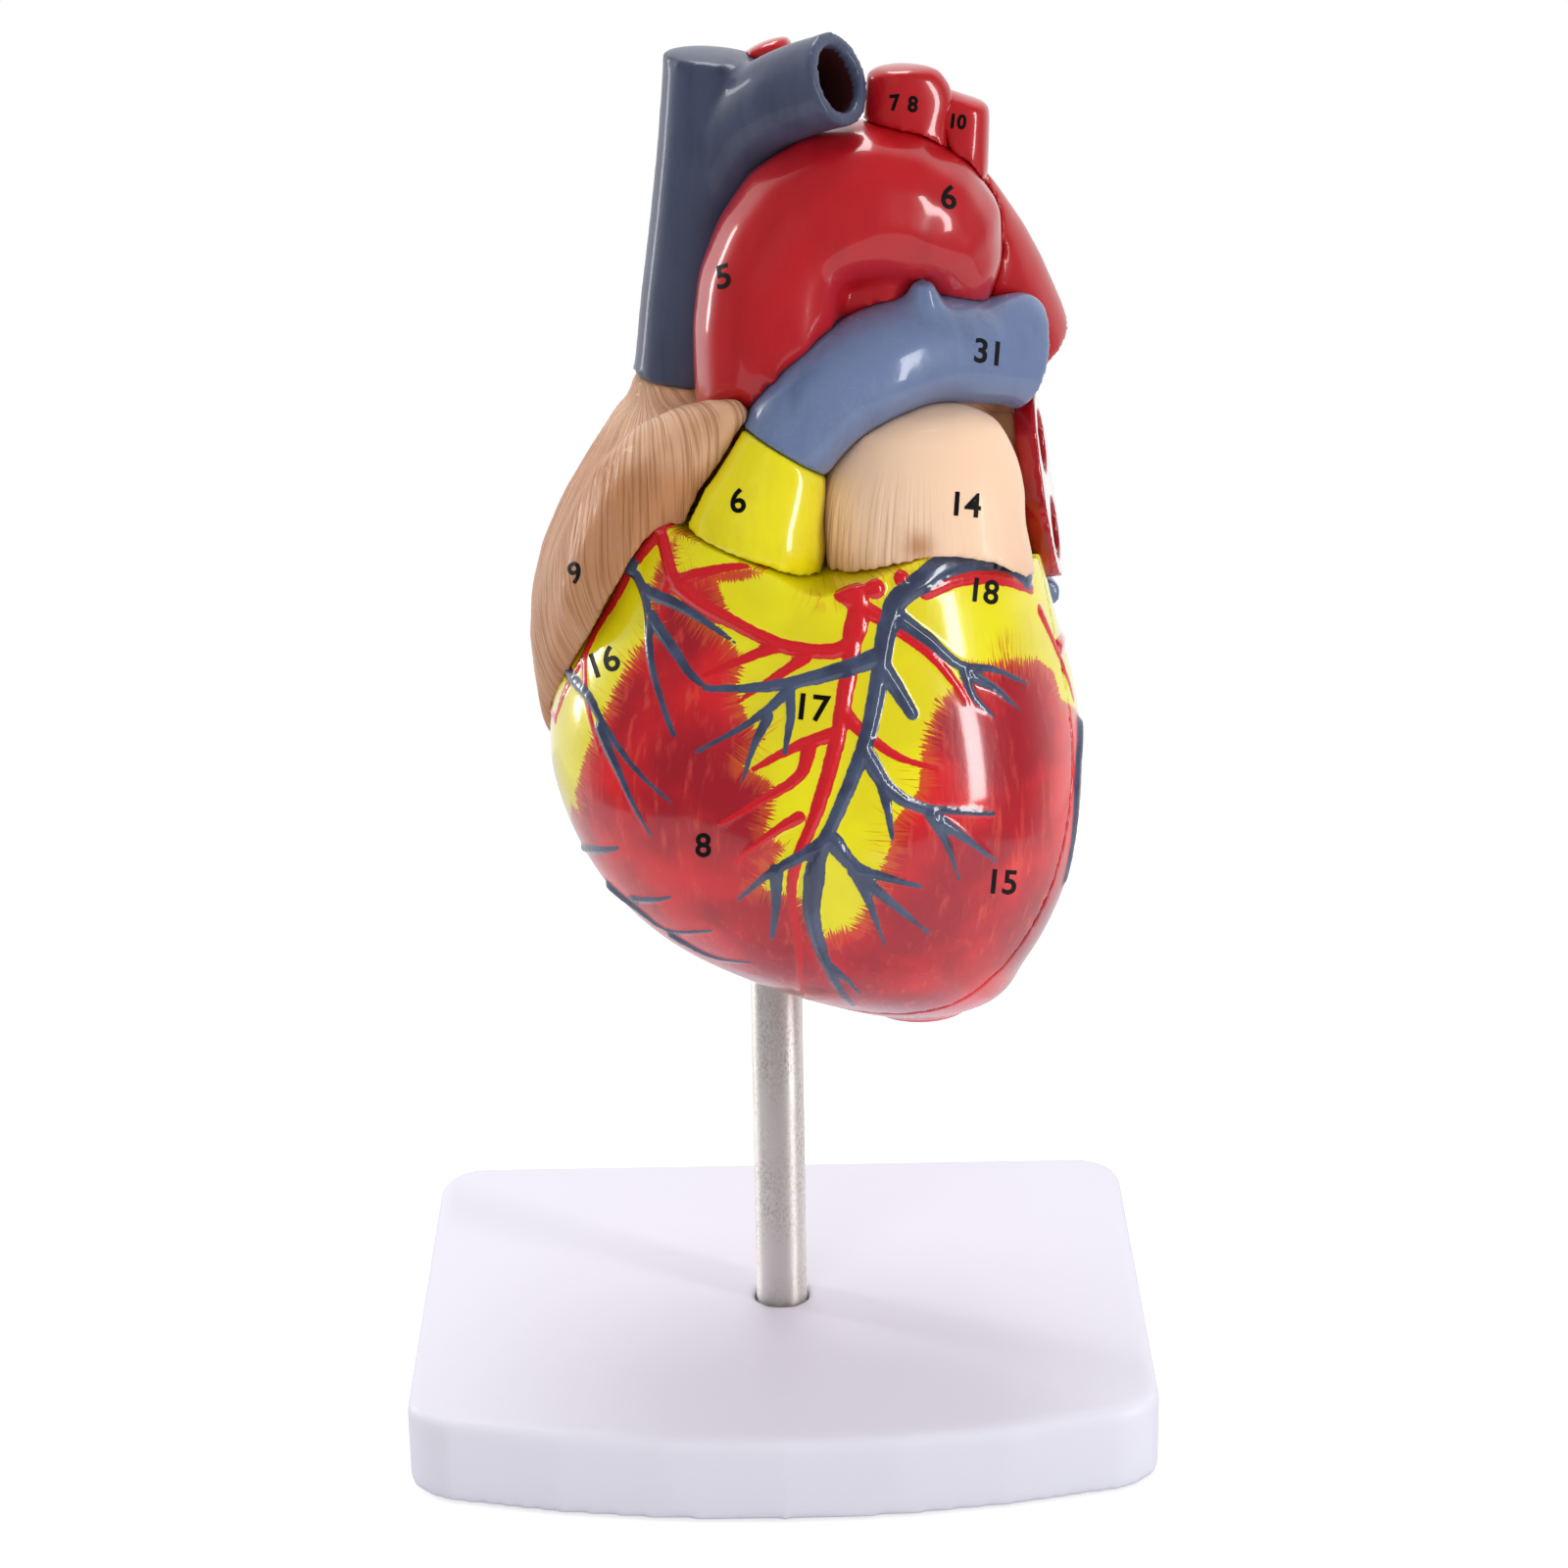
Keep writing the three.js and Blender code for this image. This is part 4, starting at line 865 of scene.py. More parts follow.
# %% Shared effect: uneven varnish
varnish = bpy.data.node_groups.new("uneven_varnish", "ShaderNodeTree")
varnish.interface.new_socket("Place", in_out="INPUT", socket_type="NodeSocketVector")
for way, labels in {"INPUT": ("Gloss", "Spread", "Scuffs"), "OUTPUT": ("Roughness", "Height")}.items():
    for label in labels:
        varnish.interface.new_socket(label, in_out=way, socket_type="NodeSocketFloat")
start, end = varnish.nodes.new("NodeGroupInput"), varnish.nodes.new("NodeGroupOutput")
place = start.outputs["Place"]
broad = cloud(place, 90.0, detail=3.0)
fine = cloud(place, 900.0, detail=2.0, rough=0.6)
scratches = between(cloud(place, 420.0, detail=5.0, rough=0.75, warp=1.5), 0.5, 0.66)
patches = between(cloud(place, 70.0, detail=2.0), 0.42, 0.62)
scuffed = sums("MULTIPLY", sums("MULTIPLY", scratches, patches), start.outputs["Scuffs"])
uneven = sums("MULTIPLY_ADD", broad, start.outputs["Spread"], start.outputs["Gloss"])
ripple = sums("MULTIPLY_ADD", fine, 0.12, broad)
set_inputs(end, Roughness=sums("ADD", uneven, scuffed), Height=sums("SUBTRACT", ripple, scuffed))
print("made the group", varnish.name)

# %% Finish: one hand-painted colour under varnish
ORGAN_RED = paint(186, 18, 28)
AORTA_SHADE = paint(168, 12, 22)
# Painted shade inside the bores of the red vessels
RED_BORE_SHADE = paint(60, 10, 14)
VARNISH_BUMP = 0.00025
PAINT_SPREAD = 0.08
PAINT_SHEEN = 0.3
VARNISH_ROUGHNESS = 0.09


def varnished(surface, place, colour, gloss, spread, coat, scuffs=0.0):
    """Paint that is itself only a little shiny, under a clear uneven coat whose height is returned."""
    made = put_after([place], "Group", node_tree=varnish)
    set_inputs(made, Place=place, Gloss=gloss, Spread=spread, Scuffs=scuffs)
    set_inputs(surface, Base_Color=colour, Roughness=made.outputs["Roughness"], Coat_Weight=coat,
               Specular_IOR_Level=PAINT_SHEEN, Coat_Roughness=VARNISH_ROUGHNESS)
    return made.outputs["Height"]


def painted_colour(name, colour, shade, gloss, coat, hollow=None, scuffs=0.0):
    """One colour with faint brush marks. The inside of a vessel's bore is painted darker in the colour given
    as hollow, as painted shade.
    """
    material, tree, surface = new_finish(name)
    place = object_place(tree)
    streaks = cloud(object_place(tree, (1, 1, 0.25)), 260.0, detail=4.0, rough=0.6)
    clouds = cloud(place, 60.0, detail=3.0)
    share = sums("MULTIPLY", between(streaks, 0.35, 0.75), between(clouds, 0.3, 0.7))
    colour = mixed(share, colour, shade)
    # Painted shade inside the bore
    if hollow:
        colour = mixed(marked(tree, "hollow"), colour, hollow)
    ripple = varnished(surface, place, colour, gloss, PAINT_SPREAD, coat, scuffs)
    bumped(surface, ripple, strength=0.35, distance=VARNISH_BUMP)
    return material


# Each hollow colour paints the inside of the vessels' bores darker, as painted shade
aorta_paint = painted_colour("aorta_red", ORGAN_RED, AORTA_SHADE, gloss=0.3, coat=0.9, hollow=RED_BORE_SHADE)
stub_paint = painted_colour("aorta_red_plain", ORGAN_RED, AORTA_SHADE, gloss=0.3, coat=0.3, hollow=RED_BORE_SHADE)
cava_paint = painted_colour("cava_blue", paint(72, 80, 105), paint(60, 67, 90), gloss=0.4, coat=0.3,
                            hollow=paint(58, 22, 24))
trunk_paint = painted_colour("pulmonary_blue", paint(110, 127, 165), paint(94, 109, 145), gloss=0.24,
                             coat=0.5, hollow=paint(40, 30, 40), scuffs=0.5)
yellow_paint = painted_colour("trunk_yellow", paint(240, 226, 16), paint(222, 204, 18), gloss=0.24, coat=1.0)
valve_paint = painted_colour("valve_cream", paint(236, 222, 196), paint(222, 200, 168), gloss=0.35, coat=0.4)
muscle_paint = painted_colour("papillary_red", paint(190, 66, 60), paint(170, 46, 46), gloss=0.35, coat=0.4)
print("finishes of one colour:", aorta_paint.name, cava_paint.name, trunk_paint.name)

# %% Finish: the painted ventricles
FAT_YELLOW = paint(242, 232, 12)
FAT_SHADE = paint(224, 206, 16)
CRIMSON = paint(230, 30, 38)
CRIMSON_DARK = paint(168, 20, 38)
CRIMSON_PALE = paint(234, 82, 66)
BORDER_ORANGE = paint(216, 92, 34)
ARTERY_RED = paint(212, 18, 32)
VEIN_SLATE = paint(72, 84, 112)
VEIN_DARK = paint(56, 64, 90)
CHAMBER_WALL = paint(206, 112, 96)
CHAMBER_DARK = paint(176, 62, 58)
# Sizes in mm: the brush strokes that fray the fat's border, the dry hatching on the fat, and the
# orange glow beside it
STROKE_WIDTH = 0.42
STROKE_LENGTH = 8.0
FRINGE = 9.5
HATCH_WIDTH = 0.36
HATCH_LENGTH = 14.0
GLOW_FRAY = 12.0
GLOW_REACH = 3.5
# Depths in mm under the form at which the outer paint ends and the chamber's wall begins
PAINT_END = -0.9
WALL_START = -1.2


def across_border(fat, along, width, length):
    """Where a noise is looked up so that it turns into strokes across the fat's border."""
    return joined(sums("DIVIDE", along, width), sums("DIVIDE", fat, length))


def hatching(fat, along, place):
    """Share of thin dry strokes that the brush left on the fat near the muscle, in some places."""
    hatch_place = across_border(fat, along, HATCH_WIDTH, HATCH_LENGTH)
    lines = between(cloud(hatch_place, 1.0, detail=1.5, rough=0.6), 0.56, 0.62)
    near = sums("MULTIPLY", between(fat, -6.5, -0.5), between(fat, 0.4, -0.2))
    some = between(cloud(place, 38.0), 0.5, 0.6)
    return sums("MULTIPLY", sums("MULTIPLY", lines, near), some)


def muscle_and_fat(tree, place, streaks):
    """Crimson muscle with paler streaks, and fat whose border frays in strokes over a glow."""
    fat, along = marked(tree, "fat"), marked(tree, "along")
    stroke_place = across_border(fat, along, STROKE_WIDTH, STROKE_LENGTH)
    strokes = sums("SUBTRACT", cloud(stroke_place, 1.0, detail=2.0, rough=0.6), 0.5)
    fringe_size = between(cloud(place, 55.0), 0.35, 0.65, 0.25, 1.0)
    ragged = sums("MULTIPLY_ADD", sums("MULTIPLY", strokes, FRINGE), fringe_size, fat)
    clouds = cloud(place, 42.0, detail=3.0)
    muscle = mixed(between(clouds, 0.36, 0.62), CRIMSON, CRIMSON_DARK)
    muscle = mixed(between(streaks, 0.52, 0.74, 0.0, 0.55), muscle, CRIMSON_PALE)
    frayed = sums("MULTIPLY_ADD", strokes, GLOW_FRAY, fat)
    muscle = mixed(between(frayed, GLOW_REACH, -0.5, 0.0, 0.8), muscle, BORDER_ORANGE)
    yellow = mixed(between(clouds, 0.4, 0.65, 0.0, 0.7), FAT_YELLOW, FAT_SHADE)
    colour = mixed(inside(ragged), muscle, yellow)
    return mixed(hatching(fat, along, place), colour, BORDER_ORANGE)


def with_vessels(tree, colour, place):
    """The same colour with the arteries and, over them, the veins, whose edges wobble a little."""
    wobble = sums("MULTIPLY_ADD", cloud(place, 600.0), 0.5, -0.25)
    slate_clouds = between(cloud(place, 160.0, detail=3.0), 0.4, 0.65)
    slate = mixed(slate_clouds, VEIN_SLATE, VEIN_DARK)
    for vessel, vessel_colour in {"artery": ARTERY_RED, "vein": slate}.items():
        edge = sums("ADD", marked(tree, vessel), wobble)
        colour = mixed(inside(edge), colour, vessel_colour)
    return colour


def ventricle_paint():
    material, tree, surface = new_finish("painted_ventricles")
    place = object_place(tree)
    slanted = object_place(tree, stretch=(1, 1, 0.16), turn=(0, 0.25, 0))
    streaks = cloud(slanted, 520.0, detail=4.0, rough=0.62)
    colour = with_vessels(tree, muscle_and_fat(tree, place, streaks), place)
    inner = mixed(between(streaks, 0.4, 0.65), CHAMBER_WALL, CHAMBER_DARK)
    colour = mixed(between(marked(tree, "skin"), PAINT_END, WALL_START), colour, inner)
    ripple = varnished(surface, place, colour, gloss=0.2, spread=0.12, coat=1.0)
    brush_marks = sums("MULTIPLY_ADD", streaks, 0.8, ripple)
    bumped(surface, brush_marks, strength=0.3, distance=VARNISH_BUMP)
    return material


front.data.materials.append(ventricle_paint())
back.data.materials.append(front.data.materials[0])
print("painted", front.name, "and", back.name)

# %% [markdown]
# The atria are cast with fine muscle bands that the mould left as grooves. A wave texture would run
# dead straight, so each atrium gets a number for each point that grows across its grooves, bends
# with them, and drives both real folds in the mesh and the fine painted lines.

# %% Grooves of the atria
# Centre x and y of the chart in mm, its radius, the height below which the grooves swing outwards,
# and how fast they do
GROOVE_CHARTS = {
    "right_atrium": ((-22.0, 3.0), 24.0, 181.0, 34.0),
    "left_auricle": ((27.5, -14.0), 20.0, 150.0, 40.0),
    "left_atrium": ((20.0, 20.0), 26.0, 150.0, 40.0),
}
# Depth and spacing of the real folds, in mm
FOLD_SIZES = {"right_atrium": (0.09, 2.0), "left_auricle": (0.17, 1.9), "left_atrium": (0.1, 3.0)}
# Place of the auricle's dimple across and up, where brown is painted as shade, and its size, in mm
AURICLE_DIMPLE = (26.5, 185.0)
DIMPLE_SIZE = 3.0


def groove_numbers(node, points):
    """How far each point lies across the grooves, in mm."""
    centre, radius, bend_height, bend = GROOVE_CHARTS[node]
    angle = np.arctan2(points[:, 0] - centre[0], -(points[:, 1] - centre[1]))
    below = np.clip(bend_height - points[:, 2], 0, None)
    return angle * radius - below ** 2 / (2 * bend)


def folds(across, height, spacing):
    """Uneven waves between -1 and 1 that run across the grooves."""
    sway = 1.3 * np.sin(height / 8.0) + 0.8 * np.sin(height / 3.7 + across / 5.0)
    slow = np.sin(2 * math.pi * across / (2.7 * spacing) + 0.6 * sway)
    quick = np.sin(2 * math.pi * across / spacing + sway + slow)
    return 0.65 * quick + 0.35 * slow


def tan_depth_and_shade(node, points):
    """1 where the tan is deep and brown, 0 where it is pale. The auricle is painted darker on its left side,
    at the bottom and in its dimple, as painted shade among its wrinkles. The other atria are painted paler at
    the top, a painted light against the shadow where the neck lies, and deeper towards the bottom. The bounds
    are places in mm.
    """
    x, z = points[:, 0], points[:, 2]
    if node != "left_auricle":
        return 0.8 - 0.25 * faded(z, 194, 200) + 0.2 * faded(-z, -152, -138)
    left = faded(-x, -30, -12)
    low = faded(-z, -188, -176)
    dimple = np.exp(-((x - AURICLE_DIMPLE[0]) ** 2 + (z - AURICLE_DIMPLE[1]) ** 2) / DIMPLE_SIZE ** 2)
    return np.clip(0.45 * left * (0.4 + 0.6 * low) + 0.2 * low + 0.7 * dimple, 0, 1)


for node, (deep, spacing) in FOLD_SIZES.items():
    piece = organs[node]
    points = coordinates(piece)
    across = groove_numbers(node, points)
    strength = np.full(len(points), deep)
    if node == "left_auricle":
        strength = deep * (0.08 + 0.92 * faded(-points[:, 0], -33, -20)) * faded(-points[:, 2], -199, -186)
    outward = normals(piece)
    move_points(piece, points + outward * (strength * folds(across, points[:, 2], spacing))[:, None])
    store(piece, "across", across)
    store(piece, "deep_tan_and_shade", tan_depth_and_shade(node, points))
    store(piece, "grooved", strength / deep)
    print(node, "grooves span", round(float(np.ptp(across)), 1), "mm")

# %% Finish: tan atria with fine grooves
TAN = paint(250, 212, 180)
# Deep tan, which also paints the atria's shade; less of it paints light at their tops
TAN_DEEP = paint(192, 132, 88)
GROOVE_BROWN = paint(152, 94, 56)
# Near black painted shade in the bores and at their bottoms
DARK_BORE_SHADE = paint(14, 12, 14)
GROOVE_LENGTH = 24
GROOVE_BUMP = 0.0004


def atrium_paint(name, line_width, line_share, bump):
    material, tree, surface = new_finish(name)
    place = object_place(tree)
    height = sums("MULTIPLY", height_of(tree), 1 / (GROOVE_LENGTH * MM))
    across = sums("DIVIDE", marked(tree, "across"), line_width)
    lines = cloud(joined(across, height), 1.0, detail=2.5, rough=0.55, warp=0.2)
    groove = sums("MULTIPLY", between(lines, 0.52, 0.36), marked(tree, "grooved"))
    clouds = cloud(place, 50.0, detail=3.0)
    # Random clouds plus the stored share, which holds painted shade and painted light
    depth = sums("MULTIPLY_ADD", sums("SUBTRACT", clouds, 0.5), 0.5, marked(tree, "deep_tan_and_shade"))
    colour = mixed(between(depth, 0.0, 1.0), TAN, TAN_DEEP)
    colour = mixed(sums("MULTIPLY", groove, line_share), colour, GROOVE_BROWN)
    # Painted shade at the bottoms of the plate's bores, where an atrium has them
    colour = mixed(marked(tree, "hollow"), colour, DARK_BORE_SHADE)
    varnished(surface, place, colour, gloss=0.36, spread=0.15, coat=0.15)
    bumped(surface, sums("SUBTRACT", 1.0, groove), strength=bump, distance=GROOVE_BUMP)
    return material


banded_tan = atrium_paint("atrium_banded", line_width=0.5, line_share=0.55, bump=0.5)
auricle_tan = atrium_paint("atrium_folded", line_width=0.55, line_share=0.36, bump=0.4)
soft_tan = atrium_paint("atrium_soft", line_width=1.8, line_share=0.35, bump=0.25)
print("finishes of the atria:", banded_tan.name, auricle_tan.name, soft_tan.name)

# %% Painted shade in the bores of the vessels
# How far a line looks for the wall opposite, and how far above its own wall it starts, in mm
BORE_REACH = 15.0
WALL_GAP = 0.3
TILTS = [(1, 0), (-1, 0), (0, 1), (0, -1)]
TILTS_TO_MEET = 3
BORED = (
    "left_brachiocephalic_vein", "inferior_vena_cava", "pulmonary_artery", "descending_aorta",
    "right_pulmonary_artery", "left_pulmonary_veins", "right_upper_pulmonary_vein",
    "right_lower_pulmonary_vein",
)


def mark_hollow(piece):
    """Marks the points inside a bore, where a line straight out or most tilted lines meet a wall, for a
    painted shade there.
    """
    walls = walls_of(piece)
    hollow = []
    for vertex in piece.data.vertices:
        out = vertex.normal
        start = vertex.co + out * WALL_GAP * MM
        side = out.orthogonal().normalized()
        ways = [out + a * side + b * out.cross(side) for a, b in TILTS]
        met = [walls.ray_cast(start, way, BORE_REACH * MM)[0] is not None for way in [out] + ways]
        hollow.append(float(met[0] or sum(met) >= TILTS_TO_MEET))
    store(piece, "hollow", hollow)
    return int(sum(hollow))


for node in BORED:
    print(node, "points in its bore:", mark_hollow(organs[node]))

# %% Painted shade at the bottoms of the two bores in the plate
PLATE_WAY = np.array(Vector((6.4, -1.4, 1.1)).normalized())
BORE_MARGIN = 0.3


def mark_shade_beneath(piece, plate):
    """Marks the points of the atrium that lie in line with the two bores of the plate, for a painted shade
    there.
    """
    flags = np.array([item.value for item in plate.data.attributes["hollow"].data])
    walls = coordinates(plate)[flags > 0]
    upper = walls[:, 2] > walls[:, 2].mean()
    points = coordinates(piece)
    hollow = np.zeros(len(points))
    for wall in (walls[upper], walls[~upper]):
        middle = wall.mean(axis=0)
        radius = np.linalg.norm(np.cross(wall - middle, PLATE_WAY), axis=1).max() + BORE_MARGIN
        from_axis = np.linalg.norm(np.cross(points - middle, PLATE_WAY), axis=1)
        ahead = (points - middle) @ PLATE_WAY
        hollow[(from_axis < radius) & (ahead > -BORE_REACH)] = 1
    store(piece, "hollow", hollow)
    return int(hollow.sum())


plate = organs["left_pulmonary_veins"]
print("points of the atrium in the bores:", mark_shade_beneath(organs["left_atrium"], plate))

# %% Finish: the end plate of the left pulmonary veins
PLATE_SHADE = paint(160, 12, 24)
PLATE_WHITE = paint(238, 234, 232)


def plate_paint():
    """Red all round, with a white end face round the two bores, whose insides are painted dark as shade."""
    material, tree, surface = new_finish("vein_plate")
    place = object_place(tree)
    red = mixed(between(cloud(place, 120.0), 0.35, 0.65), ORGAN_RED, PLATE_SHADE)
    colour = mixed(between(marked(tree, "endface"), 0.86, 0.93), red, PLATE_WHITE)
    colour = mixed(marked(tree, "hollow"), colour, DARK_BORE_SHADE)
    varnished(surface, place, colour, gloss=0.22, spread=0.1, coat=1.0)
    return material


store(plate, "endface", normals(plate) @ PLATE_WAY)
print("the plate faces", tuple(round(v, 2) for v in PLATE_WAY))

# %% [markdown]
# A few cast forms get a last touch, as a sculptor would pull the clay: points near a centre
# move the most, and those further off less. The plate is also turned a little on its seat.

# %% Last touches
PLATE_TURN = math.radians(5)
PLATE_STRETCH = 1.07
PLATE_SHIFT = -1.2
# The centre of the pull, its radius, and the shift at the centre, in mm
PULLS = [
    ("left_common_carotid_artery", (31, -2, 258), 9, (3.2, 0, -0.6)),
    ("left_subclavian_artery", (31, 1, 255), 8, (-2.6, -0.6, 2.4)),
    ("pulmonary_artery", (48, 2, 217), 12, (1.0, 0, 4.0)),
    ("pulmonary_artery", (49, 2, 200), 9, (0, 0, -1.6)),
    ("left_atrium", (45, 12, 194.5), 11, (0.6, -1.5, 3.2)),
]


def pulled(piece, centre, radius, shift):
    points = coordinates(piece)
    share = 1 - faded(np.linalg.norm(points - np.array(centre), axis=1), 0, radius)
    move_points(piece, points + share[:, None] * np.array(shift))


points = coordinates(plate)
bottom, middle = points.min(axis=0), points.mean(axis=0)
away = points - [middle[0], middle[1], bottom[2]]
turn = np.array(Matrix.Rotation(PLATE_TURN, 3, "Z"))
away = away @ turn.T * [1, 1, PLATE_STRETCH]
move_points(plate, away + [middle[0] + PLATE_SHIFT, middle[1], bottom[2]])
for node, *pull in PULLS:
    pulled(organs[node], *pull)
print("turned the plate by", round(math.degrees(PLATE_TURN)), "degrees")

# %% Finishes given to the organs
FINISH_OF = {
    "right_atrium": banded_tan,
    "left_auricle": auricle_tan,
    "left_atrium": soft_tan,
    "descending_aorta": stub_paint,
    "pulmonary_trunk_root": yellow_paint,
    "left_brachiocephalic_vein": cava_paint,
    "inferior_vena_cava": cava_paint,
    "left_pulmonary_veins": plate_paint(),
    "left_front_papillary_muscle": muscle_paint,
    "left_back_papillary_muscle": muscle_paint,
    "right_papillary_muscle": muscle_paint,
}
FINISH_OF_SLOT = {"artery_red": aorta_paint, "vein_blue": trunk_paint, "valve_cream": valve_paint}
for node, piece in organs.items():
    piece.data.materials.append(FINISH_OF.get(node) or FINISH_OF_SLOT[SLOT_OF[node]])
print("organs painted:", len(organs))

# %% [markdown]
# The stand is a white moulded base with a steel tube in it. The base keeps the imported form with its
# hollow underside, remeshed and smoothed all over, which rounds its edges as a mould does.

# %% Base
BASE_VOXEL = 0.8
BASE_ROUNDS = 8
base = copy_of("base_shell", "base_moulded")
remeshed(base, BASE_VOXEL)
relaxed(base, BASE_ROUNDS)
smooth_shaded(base)
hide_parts("base_shell")
placed(base, "base_shell")

material, tree, surface = new_finish("base_white")
place = object_place(tree)
tint = mixed(cloud(place, 25.0), paint(233, 232, 243), paint(230, 229, 241))
skin_grain = cloud(place, 1500.0, detail=2.0)
rough = sums("MULTIPLY_ADD", skin_grain, 0.06, 0.36)
set_inputs(surface, Base_Color=tint, Roughness=rough, Specular_IOR_Level=PAINT_SHEEN)
bumped(surface, skin_grain, strength=0.05, distance=0.0001)
base.data.materials.append(material)
print("faces of the base:", len(base.data.polygons))

# %% Rod
ROD_SIDES = 96
ROD_WALL = 1.0
ROD_BEVEL = 0.2
BEVEL_ANGLE = math.radians(50)
SMOOTH_ANGLE = math.radians(35)
low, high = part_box("support_rod")
rod_radius = (high.x - low.x) / 2
bpy.ops.object.select_all(action="DESELECT")
bpy.ops.mesh.primitive_cylinder_add(vertices=ROD_SIDES, radius=rod_radius, depth=high.z - low.z,
                                    end_fill_type="NOTHING", location=(low + high) / 2)
rod = bpy.context.object
rod.name = "steel_tube"
bpy.ops.object.transform_apply(location=True, rotation=True, scale=True)
modified(rod, "SOLIDIFY", thickness=ROD_WALL * MM, offset=-1)
modified(rod, "BEVEL", width=ROD_BEVEL * MM, segments=2, limit_method="ANGLE", angle_limit=BEVEL_ANGLE)
alone(rod)
bpy.ops.object.shade_smooth_by_angle(angle=SMOOTH_ANGLE)
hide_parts("support_rod")
placed(rod, "support_rod")


def steel_finish(name, warm, shade, brushing):
    """Brushed metal. A quarter turn of its anisotropy lays the bright band upright along the tube."""
    material, tree, surface = new_finish(name)
    set_inputs(surface, Metallic=1.0, Anisotropic=0.8, Anisotropic_Rotation=0.25)
    grain = cloud(object_place(tree, (1, 1, 0.05)), 3500.0, detail=3.0, rough=0.65)
    pits = cloud(object_place(tree, (1, 1, 0.5)), 2400.0, detail=4.0, rough=0.7)
    dull = cloud(object_place(tree, (1, 1, 0.4)), 120.0, detail=2.0)
    share = sums("MULTIPLY", between(pits, 0.42, 0.66), between(dull, 0.3, 0.7))
    rough = sums("MULTIPLY_ADD", pits, 0.1, sums("MULTIPLY_ADD", grain, 0.12, 0.36))
    set_inputs(surface, Base_Color=mixed(share, warm, shade), Roughness=rough)
    bumped(surface, sums("ADD", grain, pits), strength=brushing, distance=0.00008)
    return material


steel = steel_finish("brushed_steel", paint(244, 240, 234), paint(200, 188, 178), brushing=0.35)
rod.data.materials.append(steel)
print("rod", round(rod_radius / MM, 2), "mm in radius with", len(rod.data.polygons), "faces")

# %% Small fittings that keep their packed form


def speckled(name, colour, other, scale, detail, roughest):
    """A plain finish whose colour and roughness vary a little from speck to speck."""
    material, tree, surface = new_finish(name)
    specks = cloud(object_place(tree), scale, detail=detail)
    rough = between(specks, 0.3, 0.7, 0.4, roughest)
    set_inputs(surface, Base_Color=mixed(specks, colour, other), Roughness=rough)
    return material, surface


plated = steel_finish("plated_nickel", paint(216, 216, 220), paint(190, 190, 196), brushing=0.15)
rubber, tree, surface = new_finish("foot_rubber")
dust = between(cloud(object_place(tree), 300.0, detail=4.0), 0.45, 0.7)
dusty = mixed(dust, paint(44, 44, 46), paint(62, 61, 62))
set_inputs(surface, Base_Color=dusty, Roughness=between(dust, 0.0, 1.0, 0.62, 0.8))
plastic, _ = speckled("sleeve_plastic", paint(224, 220, 208), paint(208, 203, 190), scale=700.0,
                      detail=3.0, roughest=0.52)
KEPT_FINISHES = {"steel": steel, "plated_magnet": plated, "rubber": rubber, "plain_plastic": plastic}
kept = [name for name in frame["nodes"] if SLOT_OF[name] in KEPT_FINISHES and name != "support_rod"]
for name in kept:
    mesh = frame["nodes"][name].data
    mesh.materials.clear()
    mesh.materials.append(KEPT_FINISHES[SLOT_OF[name]])
print("fittings with a new finish:", len(kept))

# %% [markdown]
# Black numerals on the cast match a printed key that lists the parts. Each is a text turned to face
# the camera where it was printed, made a mesh, cut fine and laid on the surface by a shrinkwrap.

# %% Numerals
# Height of a digit in mm, and the share of the font's size that a digit is high
NUMERAL_HEIGHT = 4.1
CAP_SHARE = 0.7
# How far off the surface the text is set before it is laid on, then how high the ink stands and how
# much wider than the font it runs, in mm
STAND_OFF = 12
INK_LIFT = 0.08
INK_SPREAD = 0.12
INK_SHEEN = 0.15
# The text, its point of the photograph, the piece it is printed on (None is the front wall), its
# share of the height, and its turn in degrees
NUMERALS = [
    ("6", (971, 192), "aortic_arch", 1.0, 0),
    ("5", (737, 274), "aortic_arch", 1.0, 8),
    ("31", (1013, 353), "pulmonary_artery", 1.0, -4),
    ("6", (752, 507), "pulmonary_trunk_root", 1.0, 4),
    ("14", (988, 511), "left_auricle", 1.0, -4),
    ("9", (583, 582), "right_atrium", 0.9, 12),
    ("16", (612, 675), None, 1.1, 20),
    ("17", (828, 722), None, 1.1, -6),
    ("18", (1007, 601), None, 1.0, -6),
    ("8", (716, 865), None, 1.0, 0),
    ("15", (1026, 903), None, 1.05, -4),
    ("12", (1026, 570), None, 0.7, -8),
    ("7", (915, 92), "left_common_carotid_artery", 0.6, 4),
    ("8", (934, 94), "left_common_carotid_artery", 0.6, -4),
    ("10", (980, 112), "left_subclavian_artery", 0.55, -6),
]
ink, surface = speckled("black_ink", paint(6, 6, 7), paint(18, 16, 17), scale=1200.0, detail=4.0,
                        roughest=0.55)
set_inputs(surface, Specular_IOR_Level=INK_SHEEN)


def flat_text(text, height):
    """The text as a flat mesh, with digits of the given height in mm."""
    bpy.ops.object.select_all(action="DESELECT")
    bpy.ops.object.text_add()
    letters = bpy.context.object.data
    letters.body = text
    letters.size = height * MM / CAP_SHARE
    letters.offset = INK_SPREAD * MM
    letters.align_x = "CENTER"
    letters.align_y = "CENTER"
    bpy.ops.object.convert(target="MESH")
    return merged(bpy.context.object)


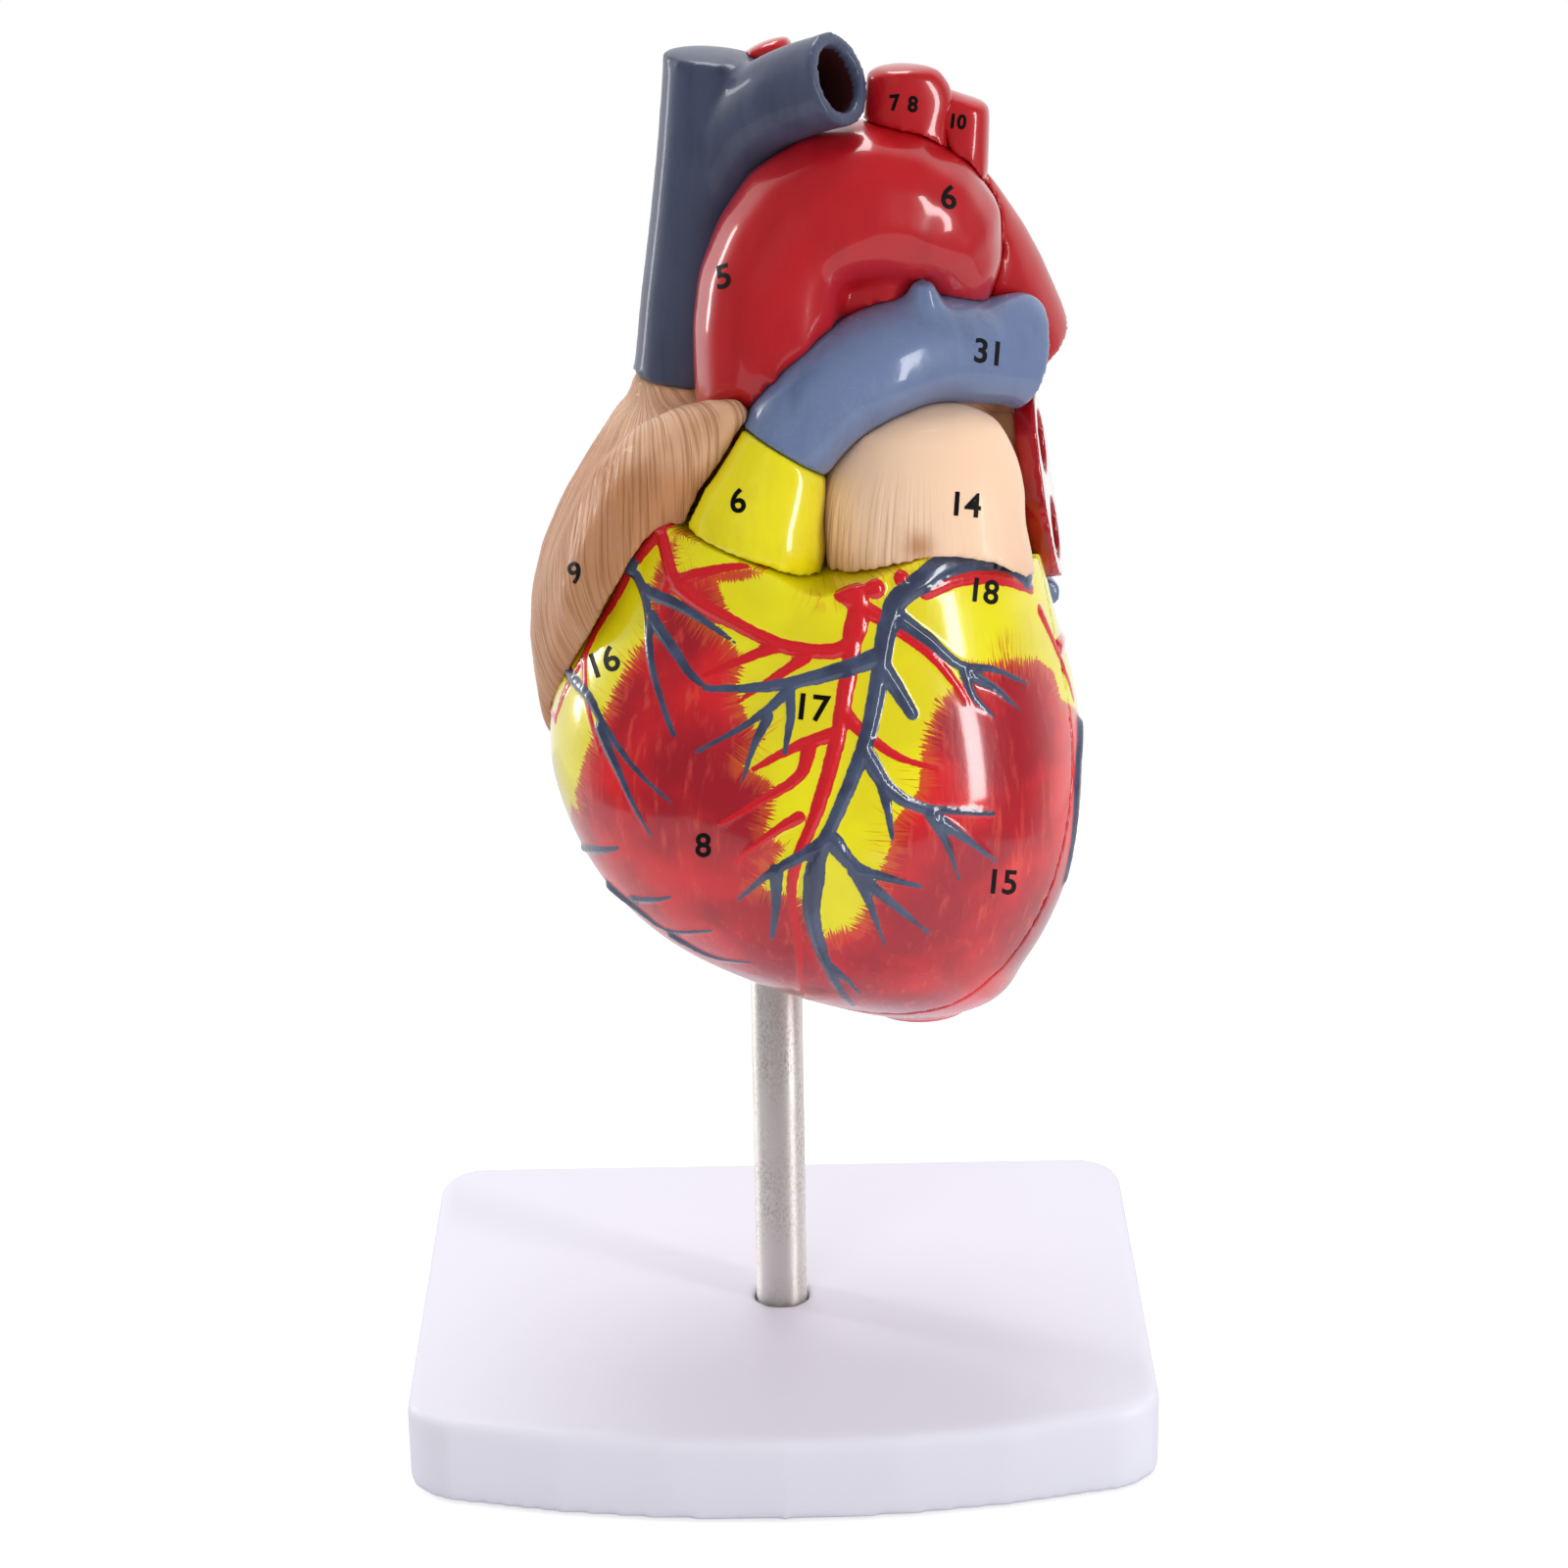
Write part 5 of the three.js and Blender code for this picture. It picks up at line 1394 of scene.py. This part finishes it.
def numeral(text, mark, node, size, turn, number):
    """The text held up to the surface where the camera sees the mark, and laid on it."""
    target = organs[node] if node else front
    spot = walls_of(target).ray_cast(CAMERA_PLACE, sight_line(*mark))[0]
    facing = camera_turn.to_4x4() @ Matrix.Rotation(math.radians(turn), 4, "Z")
    piece = flat_text(text, NUMERAL_HEIGHT * size)
    piece.name = f"numeral_{number}"
    piece.matrix_world = Matrix.Translation(spot - STAND_OFF * MM * sight_line(*mark)) @ facing
    modified(piece, "SUBSURF", subdivision_type="SIMPLE", levels=2, render_levels=2)
    modified(piece, "SHRINKWRAP", target=target, wrap_method="PROJECT", use_project_z=True,
             use_negative_direction=True, use_positive_direction=False, offset=INK_LIFT * MM)
    alone(piece)
    bpy.ops.object.transform_apply(location=True, rotation=True, scale=True)
    piece.data.materials.append(ink)
    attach(piece, BODY_OF[node] if node else "front_wall")


for number, mark in enumerate(NUMERALS, 1):
    numeral(*mark, number)
print("numerals printed:", len(NUMERALS))

# %% [markdown]
# The light is that of a small studio: a tall soft box to the right, one above and behind, a thin one
# on the left for the rims, and a wide weak fill in front that the varnish doesn't mirror. The
# backdrop looks white to the camera and in reflections, and the room in front of it is dim, so the
# varnish stays clear. The floor is a small table top that keeps the object's shadow.

# %% Floor
FLOOR_REACH = 0.64
FLOOR_GLOW = 0.62
bpy.ops.object.select_all(action="DESELECT")
bpy.ops.mesh.primitive_plane_add(size=FLOOR_REACH, location=(0, 0, 0))
floor = bpy.context.object
floor.name = "floor"
material, tree, surface = new_finish("floor_white")
tint = mixed(cloud(object_place(tree), 3.0), paint(212, 212, 215), paint(208, 208, 212))
glow = sums("MULTIPLY", put(tree, "LightPath").outputs["Is Camera Ray"], FLOOR_GLOW)
set_inputs(surface, Base_Color=tint, Roughness=0.9, Emission_Color=(1, 1, 1, 1), Emission_Strength=glow)
floor.data.materials.append(material)

# %% World
AMBIENT = 0.6
ROOM_SHEEN = 0.12
# How far to the back a way points, from -1 to 1, where the white backdrop starts and is full
BACKDROP_START = -0.1
BACKDROP_FULL = 0.5
world = bpy.data.worlds.new("pale_surround")
bpy.context.scene.world = world
world.use_nodes = True
tree = world.node_tree
rays = put(tree, "LightPath")
way = put(tree, "SeparateXYZ")
set_inputs(way, Vector=put(tree, "TexCoord").outputs["Generated"])
backdrop = between(way.outputs["Y"], BACKDROP_START, BACKDROP_FULL, ROOM_SHEEN, 1.0)
mirrored = sums("MAXIMUM", rays.outputs["Is Glossy Ray"], rays.outputs["Is Transmission Ray"])
lit = sums("MULTIPLY_ADD", mirrored, sums("SUBTRACT", backdrop, AMBIENT), AMBIENT)
white = sums("MAXIMUM", rays.outputs["Is Camera Ray"], lit)
set_inputs(tree.nodes["Background"], Strength=white, Color=(1, 1, 1, 1))
print("light from all sides:", AMBIENT)

# %% Soft boxes
HEART_MIDDLE = Vector((0.01, 0.0, 0.17))
# Place, width and height in m, and power in W
SOFT_BOXES = {
    "right_soft_box": ((0.66, -0.38, 0.24), 0.1, 0.5, 2.2),
    "top_soft_box": ((0.0, 0.32, 1.0), 0.36, 0.4, 3.6),
    "left_soft_box": ((-0.68, 0.32, 0.3), 0.1, 0.5, 1.5),
    "front_fill": ((-0.35, -0.9, 0.55), 0.6, 0.6, 2.0),
}
for name, (place, width, height, power) in SOFT_BOXES.items():
    aim = (HEART_MIDDLE - Vector(place)).to_track_quat("-Z", "Y")
    bpy.ops.object.light_add(type="AREA", location=place, rotation=aim.to_euler())
    lamp = bpy.context.object
    lamp.name = name
    lamp.visible_glossy = name != "front_fill"
    lamp.data.shape = "RECTANGLE"
    lamp.data.size = width
    lamp.data.size_y = height
    lamp.data.energy = power
bpy.context.scene.view_settings.view_transform = "Standard"
